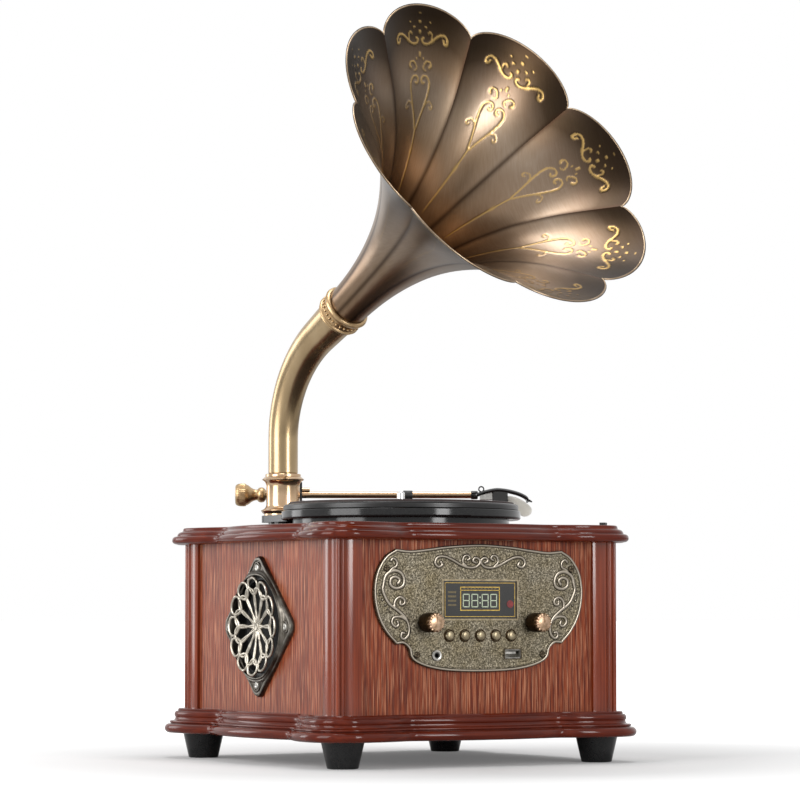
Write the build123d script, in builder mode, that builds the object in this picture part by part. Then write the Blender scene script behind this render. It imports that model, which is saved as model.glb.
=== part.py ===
"""Horn gramophone with a square serpentine cabinet, a small turntable and a petal horn.

All lengths are in millimetres, +Z is up and the front plate faces -Y. The pieces are drawn
about the middle of the cabinet and are written about the middle of the whole object's
floor area, with the origin on the floor.
"""
import os
from copy import copy
from math import atan2, cos, degrees, hypot, radians, sin, sqrt

from build123d import *

os.makedirs("parts", exist_ok=True)

# Cabinet sizes
foot_height = 22.0
foot_top_radius = 18.0
foot_bottom_radius = 12.9
foot_edge = 1.2
foot_place = 125.0

base_bottom = foot_height
base_board_top = 34.0
panel_bottom = 43.5
panel_top = 187.5
board_top = 202.3

lobe_face = 148.0
lobe_corner_radius = 24.0
lobe_flank_radius = 100.0
lobe_flank_angle = 25.0
notch_radius = 25.0
bow_face = 146.0
moulding_depth = 20.0

panel_face = 134.5
panel_thickness = 6.0
panel_half_width = 114.0
post_face = 137.0

# Front plate sizes
plate_thickness = 3.0
plate_rim_width = 2.4
plate_rim_height = 0.8
plate_points = ((81.4, 101.3), (91.7, 111.9), (99.5, 126.0), (102.8, 144.0),
                (100.0, 161.0), (91.7, 173.8), (81.5, 180.2))
plate_top_points = ((67.5, 179.1), (49.5, 180.9), (30.5, 183.2), (0.0, 184.9))
plate_tab_points = ((67.5, 91.0), (62.5, 86.4), (50.0, 82.0), (30.5, 79.0), (0.0, 78.0))
plate_notch_points = ((74.5, 101.6), (69.3, 97.2))
plate_screws_at = ((91.0, 164.2), (-91.0, 164.2), (61.6, 92.5), (-61.6, 92.5))
plate_face = panel_face + plate_thickness

display_width = 74.0
display_height = 33.0
display_middle = 138.2
display_corner = 2.0
window_thickness = 1.6
window_step = 0.8
infra_red_at = (29.6, 134.7)
infra_red_radius = 3.2
digits_width = 39.0
digits_height = 20.0
digits_middle = 139.2

knob_at = (-52.5, 52.5)
knob_level = 119.3
knob_radius = 8.1
knob_cap_radius = 7.0
knob_length = 18.6
knob_cap_length = 2.4
knob_clearance = 0.8
knob_shaft_radius = 3.0
shaft_clearance = 0.3

button_pitch = 15.2
button_count = 5
button_level = 108.4
button_radius = 4.4
button_dome = 2.4
button_clearance = 0.3
button_travel = 1.2
button_rim = 0.7

jack_at = (-43.0, 92.1)
jack_bore_radius = 1.8
jack_rim_radius = 4.6
usb_at = (32.0, 92.9)
usb_width = 16.0
usb_height = 7.4
usb_wall = 0.6
usb_depth = 14.0

# Grille and loudspeaker sizes
grille_level = 115.7
grille_boss_at = 50.0
grille_boss_radius = 10.0
grille_opening = 43.0
grille_proud = 5.6
grille_screw_head = 3.2
grille_wire = 1.7
flower_count = 12
flower_depth = 2.2
flower_back = 1.2
driver_rim_radius = 45.5
driver_cone_radius = 38.0
driver_opening = 40.0
panel_opening = 40.5

# Turntable sizes
spindle_at = (-9.0, -22.0)
deck_radius = 103.8
deck_bottom = 207.5
deck_top = 215.3
deck_plinth_radius = 94.0
ear_top = 213.6
ear_post_radius = 19.0
ear_arm_radius = 14.0
ear_rest_radius = 8.0
well_radius = 88.0
well_floor = 205.3
platter_radius = 102.0
platter_bottom = 215.9
platter_top = 220.8
mat_radius = 98.0
mat_top = 222.8
sub_rim_radius = 58.0
sub_rim_wall = 3.0
spindle_radius = 3.6
spindle_top = 232.2
shaft_radius = 4.0
running_clearance = 0.05
bearing_radius = 9.0
bearing_top = 213.0
bearing_bottom = 186.0
hole_clearance = 0.4
stud_radius = 6.0
motor_reach = 73.0
motor_angle = 180.0
pulley_radius = 5.0
belt_thickness = 0.8
belt_clearance = 0.06
belt_width = 4.0
belt_level = 210.6
motor_radius = 17.0
motor_length = 24.0

# Speed selector sizes
selector_at = (135.0, -122.0)
selector_turn = 45.0
selector_cap = (9.0, 5.0)
selector_stem = (3.0, 2.4)
selector_slot = (9.0, 3.0)
selector_top = 205.1
selector_bottom = 198.0
travel_gap = 0.3

# Tone arm sizes
arm_pivot = (-34.0, 120.0)
arm_level = 233.5
arm_rest_angle = 29.0
arm_tube_radius = 3.0
arm_reach = 157.0
rest_reach = 100.0
rest_clearance = 0.35
counter_end = 55.6

# Horn sizes
post_at = (-61.5, 95.7)
post_radius = 14.9
post_top = 250.9
socket_radius = 12.05
elbow_spigot_radius = 12.0
elbow_start_radius = 13.2
elbow_end_radius = 18.0
elbow_bend_start = 281.9
elbow_bend_radius = 105.0
horn_heading = 10.85
horn_rise = 31.2
elbow_straight = 36.0
horn_wall = 1.0
mouth_reach = 274.4
mouth_level = 507.3
petal_count = 8
cusp_radius = 138.3
tip_radius = 155.5


def turned(point, angle):
    """Turn a plan point about the middle of the cabinet."""
    c, s = cos(radians(angle)), sin(radians(angle))
    return (point[0] * c - point[1] * s, point[0] * s + point[1] * c)


def arc_through(centre, radius, start, end, turn):
    """Three points of an arc, turned about the middle of the cabinet."""
    points = []
    for angle in (start, (start + end) / 2, end):
        x = centre[0] + radius * cos(radians(angle))
        y = centre[1] + radius * sin(radians(angle))
        points.append(turned((x, y), turn))
    return points


# The outline of a side: a bowed middle, two notches and two round corner lobes.
lobe_middle = lobe_face - lobe_corner_radius
flank_middle = (lobe_middle, lobe_face - lobe_flank_radius)
notch_middle = (
    flank_middle[0] - (lobe_flank_radius + notch_radius) * sin(radians(lobe_flank_angle)),
    flank_middle[1] + (lobe_flank_radius + notch_radius) * cos(radians(lobe_flank_angle)))
notch_rise = notch_middle[1] - bow_face
bow_radius = (notch_middle[0] ** 2 + notch_rise ** 2 - notch_radius ** 2) / (
    2 * (notch_radius - notch_rise))
bow_middle = (0.0, bow_face - bow_radius)
bow_angle = degrees(atan2(notch_middle[0], notch_middle[1] - bow_middle[1]))


def serpentine(grow):
    """Draw the cabinet's closed outline, moved outwards by grow, in the active line."""
    for turn in (0, 90, 180, 270):
        right_angle = 90
        ThreePointArc(*arc_through((lobe_middle, lobe_middle), lobe_corner_radius + grow,
                                   0, right_angle, turn))
        ThreePointArc(*arc_through(flank_middle, lobe_flank_radius + grow,
                                   right_angle, right_angle + lobe_flank_angle, turn))
        ThreePointArc(*arc_through(notch_middle, notch_radius - grow,
                                   lobe_flank_angle - right_angle, -right_angle - bow_angle, turn))
        ThreePointArc(*arc_through(bow_middle, bow_radius + grow,
                                   right_angle - bow_angle, right_angle + bow_angle, turn))
        ThreePointArc(*arc_through((-notch_middle[0], notch_middle[1]), notch_radius - grow,
                                   bow_angle - right_angle, -right_angle - lobe_flank_angle, turn))
        ThreePointArc(*arc_through((-flank_middle[0], flank_middle[1]), lobe_flank_radius + grow,
                                   right_angle - lobe_flank_angle, right_angle, turn))


pieces = []


def save(shape, name):
    """Name a finished piece and keep it for writing."""
    shape.label = name
    pieces.append(shape)


# Feet: four turned black feet under the corner posts
for name, side, end in (("foot_front_left", -1, -1), ("foot_front_right", 1, -1),
                        ("foot_rear_left", -1, 1), ("foot_rear_right", 1, 1)):
    with BuildPart() as foot:
        with Locations((side * foot_place, end * foot_place, foot_height / 2)):
            Cone(foot_bottom_radius, foot_top_radius, foot_height)
        fillet(foot.edges().group_by(Axis.Z)[0], foot_edge)
    save(foot.part, name)

# Base moulding: a mitred frame run through a shaped cutter
base_torus = 4.1
base_torus_reach = 11.8
bead_reach = 7.4
bead_size = 1.1
cove_top_reach = 2.4
fillet_step = 0.8
cove_height = 3.2
neck_height = 2.4
with BuildPart() as base_moulding:
    with BuildLine() as base_path:
        serpentine(0)
    start = turned((lobe_face, lobe_middle), 0)
    profile_plane = Plane(origin=(start[0], start[1], 0), x_dir=(1, 0, 0), z_dir=(0, -1, 0))
    torus_flat = base_torus_reach - base_torus
    torus_top = base_bottom + 2 * base_torus
    bead_flat = bead_reach - bead_size
    bead_bottom = torus_top + fillet_step / 2
    bead_top = bead_bottom + 2 * bead_size
    cove_top = bead_top + cove_height
    swell_top = panel_bottom - neck_height
    with BuildSketch(profile_plane):
        with BuildLine():
            Line((-moulding_depth, base_bottom), (torus_flat, base_bottom))
            ThreePointArc((torus_flat, base_bottom), (base_torus_reach, base_bottom + base_torus),
                          (torus_flat, torus_top))
            Polyline((torus_flat, torus_top), (bead_flat, torus_top), (bead_flat, bead_bottom))
            ThreePointArc((bead_flat, bead_bottom), (bead_reach, bead_bottom + bead_size),
                          (bead_flat, bead_top))
            Line((bead_flat, bead_top), (bead_flat - fillet_step, bead_top))
            ThreePointArc((bead_flat - fillet_step, bead_top),
                          (cove_top_reach + fillet_step, bead_top + fillet_step),
                          (cove_top_reach, cove_top))
            ThreePointArc((cove_top_reach, cove_top),
                          (cove_top_reach + fillet_step, (cove_top + swell_top) / 2),
                          (2 * fillet_step, swell_top))
            Polyline((2 * fillet_step, swell_top), (0, swell_top),
                     (0, panel_bottom - fillet_step), (-fillet_step, panel_bottom),
                     (-moulding_depth, panel_bottom), (-moulding_depth, base_bottom))
        make_face()
    sweep(path=base_path.line)
save(base_moulding.part, "base_moulding")

# Base board: the cabinet's floor, let into the moulding
with BuildPart() as base_board:
    with BuildSketch(Plane.XY.offset(base_bottom)):
        with BuildLine():
            serpentine(-moulding_depth)
        make_face()
    extrude(amount=base_board_top - base_bottom)
save(base_board.part, "base_board")

# Top board: one board with an ogee and a half-round edge
top_torus = 3.4
top_torus_reach = 5.9
top_lip = 0.6
ogee_reach = 1.4
ogee_inner = 3.8
top_round = 1.6
selector_place = Location((selector_at[0], selector_at[1], 0), (0, 0, selector_turn))
with BuildPart() as top_board:
    with BuildLine() as top_path:
        serpentine(0)
    flat = top_torus_reach - top_torus
    torus_low = panel_top + top_lip
    torus_high = torus_low + 2 * top_torus
    bead_low = torus_high + top_lip
    cove_low = bead_low + 2 * top_round
    cove_high = board_top - top_round
    with BuildSketch(profile_plane):
        with BuildLine():
            Polyline((-moulding_depth, panel_top), (top_lip, panel_top), (flat, torus_low))
            ThreePointArc((flat, torus_low), (top_torus_reach, torus_low + top_torus),
                          (flat, torus_high))
            Polyline((flat, torus_high), (ogee_reach, torus_high), (ogee_reach, bead_low))
            ThreePointArc((ogee_reach, bead_low), (ogee_reach / 2, bead_low + top_round),
                          (-ogee_reach, cove_low))
            ThreePointArc((-ogee_reach, cove_low), (-ogee_inner + top_lip, cove_low + top_lip),
                          (-ogee_inner, cove_high))
            ThreePointArc((-ogee_inner, cove_high),
                          (-ogee_inner - top_round * (1 - sqrt(1 / 2)),
                           board_top - top_round * (1 - sqrt(1 / 2))),
                          (-ogee_inner - top_round, board_top))
            Polyline((-ogee_inner - top_round, board_top), (-moulding_depth, board_top),
                     (-moulding_depth, panel_top))
        make_face()
    sweep(path=top_path.line)
    with BuildSketch(Plane.XY.offset(panel_top)):
        with BuildLine():
            serpentine(-moulding_depth)
        make_face()
    extrude(amount=board_top - panel_top)
    motor_at = (spindle_at[0] + motor_reach * cos(radians(motor_angle)),
                spindle_at[1] + motor_reach * sin(radians(motor_angle)))
    with BuildSketch(Plane.XY.offset(panel_top)):
        with Locations(motor_at):
            Circle(motor_radius + 2 * hole_clearance)
        with Locations(spindle_at):
            Circle(bearing_radius + hole_clearance)
        with Locations(post_at):
            Circle(stud_radius + hole_clearance)
    extrude(amount=board_top - panel_top, mode=Mode.SUBTRACT)
    with BuildSketch(Plane.XY.offset(selector_bottom - travel_gap)):
        with Locations(selector_place):
            Rectangle(*selector_slot)
    extrude(amount=board_top - selector_bottom + travel_gap, mode=Mode.SUBTRACT)
save(top_board.part, "top_board")

# Corner posts: square pillars with reeds round the outer corner
reed_edge = 127.5
reed_groove = 129.2
reed_inner = 130.4
reed_outer = 133.2
corner_groove = 133.9
corner_start = 134.4
reed_swell = 0.9
groove_sink = 1.3
for name, turn in (("post_rear_right", 0), ("post_rear_left", 90),
                   ("post_front_left", 180), ("post_front_right", 270)):
    edge = [(panel_half_width, panel_half_width), (panel_half_width, post_face)]
    with BuildPart() as post:
        with BuildSketch(Plane.XY.offset(panel_bottom)):
            with BuildLine():
                outer = [turned(p, turn) for p in edge]
                Line(*outer)
                ThreePointArc(turned((panel_half_width, post_face), turn),
                              turned(((panel_half_width + reed_edge) / 2, post_face + reed_swell),
                                     turn),
                              turned((reed_edge, post_face), turn))
                Polyline(turned((reed_edge, post_face), turn),
                         turned((reed_groove, post_face - groove_sink), turn),
                         turned((reed_inner, post_face), turn))
                ThreePointArc(turned((reed_inner, post_face), turn),
                              turned(((reed_inner + reed_outer) / 2, post_face + reed_swell), turn),
                              turned((reed_outer, post_face), turn))
                Polyline(turned((reed_outer, post_face), turn),
                         turned((corner_groove, post_face - groove_sink / 2), turn),
                         turned((corner_start, post_face), turn))
                ThreePointArc(turned((corner_start, post_face), turn),
                              turned((post_face + reed_swell / 2, post_face + reed_swell / 2), turn),
                              turned((post_face, corner_start), turn))
                Polyline(turned((post_face, corner_start), turn),
                         turned((post_face - groove_sink / 2, corner_groove), turn),
                         turned((post_face, reed_outer), turn))
                ThreePointArc(turned((post_face, reed_outer), turn),
                              turned((post_face + reed_swell, (reed_inner + reed_outer) / 2), turn),
                              turned((post_face, reed_inner), turn))
                Polyline(turned((post_face, reed_inner), turn),
                         turned((post_face - groove_sink, reed_groove), turn),
                         turned((post_face, reed_edge), turn))
                ThreePointArc(turned((post_face, reed_edge), turn),
                              turned((post_face + reed_swell, (panel_half_width + reed_edge) / 2),
                                     turn),
                              turned((post_face, panel_half_width), turn))
                Line(turned((post_face, panel_half_width), turn),
                     turned((panel_half_width, panel_half_width), turn))
            make_face()
        extrude(amount=panel_top - panel_bottom)
    save(post.part, name)

# Veneered panels between the posts
panel_middle = (panel_bottom + panel_top) / 2
panel_height = panel_top - panel_bottom
display_cut = (110.0, 62.0)
display_cut_level = 129.3
control_cut = (142.0, 30.4)
control_cut_level = 115.3
socket_cut = (98.0, 18.0)
socket_cut_level = 92.5
screw_radius = 1.5
screw_depth = 4.0
inlet_at = (70.0, 70.0)
inlet_size = (26.0, 20.0)
vent_count = 6
vent_pitch = 9.0
vent_size = (60.0, 4.0)
with BuildPart() as front_panel:
    with Locations((0, -panel_face + panel_thickness / 2, panel_middle)):
        Box(2 * panel_half_width, panel_thickness, panel_height)
    for cut, level in ((display_cut, display_cut_level), (control_cut, control_cut_level),
                       (socket_cut, socket_cut_level)):
        with Locations((0, -panel_face, level)):
            Box(cut[0], 3 * panel_thickness, cut[1], mode=Mode.SUBTRACT)
    with BuildSketch(Plane.XZ.offset(panel_face)):
        with Locations(*plate_screws_at):
            Circle(screw_radius)
    extrude(amount=-screw_depth, mode=Mode.SUBTRACT)
save(front_panel.part, "front_panel")

for name, side in (("left_panel", -1), ("right_panel", 1)):
    with BuildPart() as side_panel:
        with Locations((side * (panel_face - panel_thickness / 2), 0, panel_middle)):
            Box(panel_thickness, 2 * panel_half_width, panel_height)
        with BuildSketch(Plane.YZ.offset(side * panel_face)):
            with Locations((0, grille_level)):
                Circle(panel_opening)
        extrude(amount=2 * panel_thickness, both=True, mode=Mode.SUBTRACT)
        with BuildSketch(Plane.YZ.offset(side * panel_face)):
            with Locations((0, grille_level)):
                with PolarLocations(grille_boss_at, 4):
                    Circle(screw_radius)
        extrude(amount=-side * screw_depth, mode=Mode.SUBTRACT)
    save(side_panel.part, name)

with BuildPart() as rear_panel:
    with Locations((0, panel_face - panel_thickness / 2, panel_middle)):
        Box(2 * panel_half_width, panel_thickness, panel_height)
    with Locations((inlet_at[0], panel_face, inlet_at[1])):
        Box(inlet_size[0], 3 * panel_thickness, inlet_size[1], mode=Mode.SUBTRACT)
    for row in range(vent_count):
        level = panel_middle + (row - (vent_count - 1) / 2) * vent_pitch
        with Locations((0, panel_face, level)):
            Box(vent_size[0], 3 * panel_thickness, vent_size[1], mode=Mode.SUBTRACT)
save(rear_panel.part, "rear_panel")

# Front plate: a cast plate with a raised rim, screwed to the front panel
button_places = [((i - (button_count - 1) / 2) * button_pitch, button_level)
                 for i in range(button_count)]
knob_places = [(x, knob_level) for x in knob_at]


def mirrored(points):
    """The same points on the left half, in the opposite order."""
    return [(-x, z) for x, z in reversed(points)]


def arc_run(points):
    """Draw arcs through each point in turn, three points to an arc."""
    for index in range(0, len(points) - 2, 2):
        ThreePointArc(*points[index:index + 3])


def plate_outline():
    """Draw the front plate's closed outline in the active line."""
    side = list(plate_points)
    top = [side[-1]] + list(plate_top_points)
    tab = list(plate_tab_points)
    notch = [tab[0], plate_notch_points[1], plate_notch_points[0]]
    for points in (side, top, tab, notch):
        arc_run(points)
        arc_run(mirrored(points))
    Line(side[0], plate_notch_points[0])
    Line(*mirrored([side[0], plate_notch_points[0]]))


with BuildPart() as front_plate:
    with BuildSketch(Plane.XZ.offset(panel_face)):
        with BuildLine():
            plate_outline()
        make_face()
        with Locations((0, display_middle)):
            RectangleRounded(display_width, display_height, display_corner, mode=Mode.SUBTRACT)
        with Locations(*knob_places):
            Circle(knob_shaft_radius + shaft_clearance, mode=Mode.SUBTRACT)
        with Locations(*button_places):
            Circle(button_radius + button_clearance, mode=Mode.SUBTRACT)
        with Locations(jack_at):
            Circle(jack_rim_radius, mode=Mode.SUBTRACT)
        with Locations(usb_at):
            Rectangle(usb_width, usb_height, mode=Mode.SUBTRACT)
        with Locations(*plate_screws_at):
            Circle(screw_radius, mode=Mode.SUBTRACT)
    extrude(amount=plate_thickness)
    with BuildSketch(Plane.XZ.offset(plate_face)):
        with BuildLine():
            plate_outline()
        make_face()
        offset(amount=-plate_rim_width, mode=Mode.SUBTRACT)
    extrude(amount=plate_rim_height)
save(front_plate.part, "front_plate")

head_radius = 3.0
head_height = 1.3
head_taper = 30.0
with BuildPart() as plate_screws:
    with BuildSketch(Plane.XZ.offset(panel_face - screw_depth)):
        with Locations(*plate_screws_at):
            Circle(screw_radius)
    extrude(amount=plate_thickness + screw_depth)
    with BuildSketch(Plane.XZ.offset(plate_face)):
        with Locations(*plate_screws_at):
            Circle(head_radius)
    extrude(amount=head_height, taper=head_taper)
save(plate_screws.part, "plate_screws")

# Display: a smoked window with a red receiver lens over the digit block
window_share = 0.25
window_face = plate_face - window_share * window_step
window_back = window_face - window_thickness
with BuildPart() as display_window:
    with BuildSketch(Plane.XZ.offset(window_back)):
        with Locations((0, display_middle)):
            RectangleRounded(display_width, display_height, display_corner)
        with Locations(infra_red_at):
            Circle(infra_red_radius, mode=Mode.SUBTRACT)
    extrude(amount=window_thickness)
save(display_window.part, "display_window")

with BuildPart() as infra_red_lens:
    with BuildSketch(Plane.XZ.offset(window_back)):
        with Locations(infra_red_at):
            Circle(infra_red_radius)
    extrude(amount=window_thickness + window_step / 2)
save(infra_red_lens.part, "infra_red_lens")

# Control board: digit block, two rotary controls and five push switches
board_front = 120.0
board_thickness = 1.6
board_size = (136.0, 58.0)
board_level = 130.0
can_radius = 8.0
shaft_end = 126.0
flange_thickness = 1.6
flange_radius = 5.3
flange_front = panel_face - travel_gap
flange_back = flange_front - flange_thickness
switch_front = flange_back - button_travel - travel_gap
switch_size = 6.0
with BuildPart() as control_board:
    with Locations((0, -board_front + board_thickness / 2, board_level)):
        Box(board_size[0], board_thickness, board_size[1])
    with BuildSketch(Plane.XZ.offset(board_front)):
        with Locations((0, digits_middle)):
            Rectangle(digits_width, digits_height)
    extrude(amount=window_back - board_front)
    with BuildSketch(Plane.XZ.offset(board_front)):
        with Locations(*knob_places):
            Circle(can_radius)
    extrude(amount=panel_face - board_front)
    with BuildSketch(Plane.XZ.offset(board_front)):
        with Locations(*button_places):
            Rectangle(switch_size, switch_size)
    extrude(amount=switch_front - board_front)
    with BuildSketch(Plane.XZ.offset(shaft_end - travel_gap)):
        with Locations(*knob_places):
            Circle(knob_shaft_radius + running_clearance)
    extrude(amount=panel_face - shaft_end + travel_gap, mode=Mode.SUBTRACT)
save(control_board.part, "control_board")

# Two knobs with beaded caps on plain shafts
knob_back = plate_face + knob_clearance / 2
knob_face = plate_face + knob_length
bead_count = 16
cap_bead_radius = 1.2
pointer_size = (0.8, 5.2)
pointer_height = 0.5
for name, place in (("volume_knob", knob_places[0]), ("tuning_knob", knob_places[1])):
    with BuildPart() as knob:
        with BuildSketch(Plane.XZ.offset(shaft_end)):
            with Locations(place):
                Circle(knob_shaft_radius)
        extrude(amount=knob_back - shaft_end)
        with BuildSketch(Plane.XZ.offset(knob_back)):
            with Locations(place):
                Circle(knob_radius)
        extrude(amount=knob_face - knob_cap_length - knob_back)
        with BuildSketch(Plane.XZ.offset(knob_face - knob_cap_length)):
            with Locations(place):
                Circle(knob_cap_radius - cap_bead_radius / 2)
                with PolarLocations(knob_cap_radius - cap_bead_radius / 2, bead_count):
                    Circle(cap_bead_radius)
        extrude(amount=knob_cap_length)
        with BuildSketch(Plane.XZ.offset(knob_face)):
            with Locations((place[0], place[1] + pointer_size[1] / 2)):
                Rectangle(pointer_size[0], pointer_size[1])
        extrude(amount=pointer_height)
    save(knob.part, name)

# Five domed push buttons, held behind the plate by a flange
button_face = plate_face + button_rim
dome_share = 0.9
for number, place in enumerate(button_places, start=1):
    with BuildPart() as button:
        with BuildSketch(Plane.XZ.offset(flange_back)):
            with Locations(place):
                Circle(flange_radius)
        extrude(amount=flange_thickness)
        with BuildSketch(Plane.XZ.offset(flange_front)):
            with Locations(place):
                Circle(button_radius)
        extrude(amount=button_face + button_dome - flange_front)
        fillet(button.edges().group_by(Axis.Y)[0], button_dome * dome_share)
    save(button.part, "button_" + str(number))

# Sockets in the plate
socket_back = 120.0
jack_proud = 0.8
jack_depth = 14.0
tongue_size = (11.5, 1.9)
tongue_depth = 10.0
with BuildPart() as jack_socket:
    with BuildSketch(Plane.XZ.offset(socket_back)):
        with Locations(jack_at):
            Circle(jack_rim_radius)
    extrude(amount=plate_face + jack_proud - socket_back)
    with BuildSketch(Plane.XZ.offset(plate_face + jack_proud)):
        with Locations(jack_at):
            Circle(jack_bore_radius)
    extrude(amount=-jack_depth, mode=Mode.SUBTRACT)
save(jack_socket.part, "jack_socket")

with BuildPart() as usb_socket:
    with BuildSketch(Plane.XZ.offset(socket_back)):
        with Locations(usb_at):
            Rectangle(usb_width, usb_height)
    extrude(amount=plate_face - socket_back)
    with BuildSketch(Plane.XZ.offset(plate_face)):
        with Locations(usb_at):
            Rectangle(usb_width - 2 * usb_wall, usb_height - 2 * usb_wall)
    extrude(amount=-usb_depth, mode=Mode.SUBTRACT)
    with BuildSketch(Plane.XZ.offset(plate_face - usb_depth)):
        with Locations((usb_at[0], usb_at[1] + tongue_size[1] / 2)):
            Rectangle(*tongue_size)
    extrude(amount=tongue_depth)
save(usb_socket.part, "usb_socket")

# Grilles: a lozenge frame with a flower of cast wire on each side
outer_petal = (11.6, 9.4)
outer_petal_at = 33.0
inner_petal = (9.8, 4.9)
inner_petal_at = 15.6
hub_radius = 7.0
hub_hole = 3.6
inner_face = panel_face - panel_thickness
for name, side in (("grille_left", -1), ("grille_right", 1)):
    with BuildPart() as grille:
        with BuildSketch(Plane.YZ.offset(side * panel_face)):
            with Locations((0, grille_level)):
                with PolarLocations(grille_boss_at, 4):
                    Circle(grille_boss_radius)
            make_hull()
            with Locations((0, grille_level)):
                Circle(grille_opening, mode=Mode.SUBTRACT)
        extrude(amount=side * grille_proud)
        with BuildSketch(Plane.YZ.offset(side * (panel_face + flower_back))):
            with Locations((0, grille_level)):
                with PolarLocations(outer_petal_at, flower_count):
                    Ellipse(*outer_petal)
                with PolarLocations(inner_petal_at, flower_count, 180 / flower_count):
                    Ellipse(*inner_petal)
                with PolarLocations(outer_petal_at, flower_count):
                    Ellipse(outer_petal[0] - grille_wire, outer_petal[1] - grille_wire,
                            mode=Mode.SUBTRACT)
                with PolarLocations(inner_petal_at, flower_count, 180 / flower_count):
                    Ellipse(inner_petal[0] - grille_wire, inner_petal[1] - grille_wire,
                            mode=Mode.SUBTRACT)
                Circle(hub_radius)
                Circle(hub_hole, mode=Mode.SUBTRACT)
        extrude(amount=side * flower_depth)
        with BuildSketch(Plane.YZ.offset(side * panel_face)):
            with Locations((0, grille_level)):
                with PolarLocations(grille_boss_at, 4):
                    Circle(screw_radius)
        extrude(amount=side * 2 * grille_proud, mode=Mode.SUBTRACT)
    save(grille.part, name)

with BuildPart() as grille_screws:
    for side in (-1, 1):
        with BuildSketch(Plane.YZ.offset(side * (panel_face - screw_depth))):
            with Locations((0, grille_level)):
                with PolarLocations(grille_boss_at, 4):
                    Circle(screw_radius)
        extrude(amount=side * (screw_depth + grille_proud))
        with BuildSketch(Plane.YZ.offset(side * (panel_face + grille_proud))):
            with Locations((0, grille_level)):
                with PolarLocations(grille_boss_at, 4):
                    Circle(grille_screw_head)
        extrude(amount=side * head_height, taper=head_taper)
save(grille_screws.part, "grille_screws")

# Loudspeakers behind the grilles: basket with magnet, and paper cone
rim_thickness = 3.0
basket_depth = 19.0
basket_throat = 24.0
basket_wall = 1.6
magnet_radius = 27.0
magnet_depth = 12.0
cone_depth = 15.0
cone_throat = 12.0
cone_wall = 1.0
cone_edge = 0.5
ring_hole = driver_cone_radius + cone_edge


def behind_panel(side, depth):
    """A plane parallel to a side panel, depth behind its inner face."""
    return Plane.YZ.offset(side * (inner_face - depth))


for mark, side in (("left", -1), ("right", 1)):
    with BuildPart() as driver:
        with BuildSketch(behind_panel(side, 0)):
            with Locations((0, grille_level)):
                Circle(driver_rim_radius)
                Circle(ring_hole, mode=Mode.SUBTRACT)
        extrude(amount=-side * rim_thickness)
        with BuildSketch(behind_panel(side, rim_thickness)):
            with Locations((0, grille_level)):
                Circle(driver_opening)
        with BuildSketch(behind_panel(side, basket_depth)):
            with Locations((0, grille_level)):
                Circle(basket_throat)
        loft()
        with BuildSketch(behind_panel(side, rim_thickness)):
            with Locations((0, grille_level)):
                Circle(driver_opening - basket_wall)
        with BuildSketch(behind_panel(side, basket_depth)):
            with Locations((0, grille_level)):
                Circle(basket_throat - basket_wall)
        loft(mode=Mode.SUBTRACT)
        with BuildSketch(behind_panel(side, basket_depth)):
            with Locations((0, grille_level)):
                Circle(magnet_radius)
        extrude(amount=-side * magnet_depth)
    save(driver.part, "driver_" + mark)

    with BuildPart() as cone:
        with BuildSketch(behind_panel(side, cone_edge)):
            with Locations((0, grille_level)):
                Circle(ring_hole)
        with BuildSketch(behind_panel(side, cone_depth)):
            with Locations((0, grille_level)):
                Circle(cone_throat)
        loft()
        with BuildSketch(behind_panel(side, cone_edge)):
            with Locations((0, grille_level)):
                Circle(ring_hole - cone_wall)
        with BuildSketch(behind_panel(side, cone_depth - cone_wall)):
            with Locations((0, grille_level)):
                Circle(cone_throat)
        loft(mode=Mode.SUBTRACT)
    save(cone.part, "cone_" + mark)

# Electronics on the floor of the cabinet and the rear inlet
circuit_size = (120.0, 80.0)
circuit_at = (-10.0, 40.0)
standoff_height = 6.0
standoff_radius = 3.0
supply_size = (50.0, 40.0, 32.0)
sink_size = (8.0, 60.0, 24.0)
circuit_level = base_board_top + standoff_height
with BuildPart() as main_board:
    with Locations((circuit_at[0], circuit_at[1], base_board_top)):
        with GridLocations(circuit_size[0] - 3 * standoff_radius,
                           circuit_size[1] - 3 * standoff_radius, 2, 2):
            Cylinder(standoff_radius, standoff_height,
                     align=(Align.CENTER, Align.CENTER, Align.MIN))
    with Locations((circuit_at[0], circuit_at[1], circuit_level)):
        Box(circuit_size[0], circuit_size[1], board_thickness,
            align=(Align.CENTER, Align.CENTER, Align.MIN))
    with Locations((circuit_at[0] + circuit_size[0] / 4, circuit_at[1],
                    circuit_level + board_thickness)):
        Box(*supply_size, align=(Align.CENTER, Align.CENTER, Align.MIN))
    with Locations((circuit_at[0] - circuit_size[0] / 3, circuit_at[1],
                    circuit_level + board_thickness)):
        Box(*sink_size, align=(Align.CENTER, Align.CENTER, Align.MIN))
save(main_board.part, "main_board")

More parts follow.
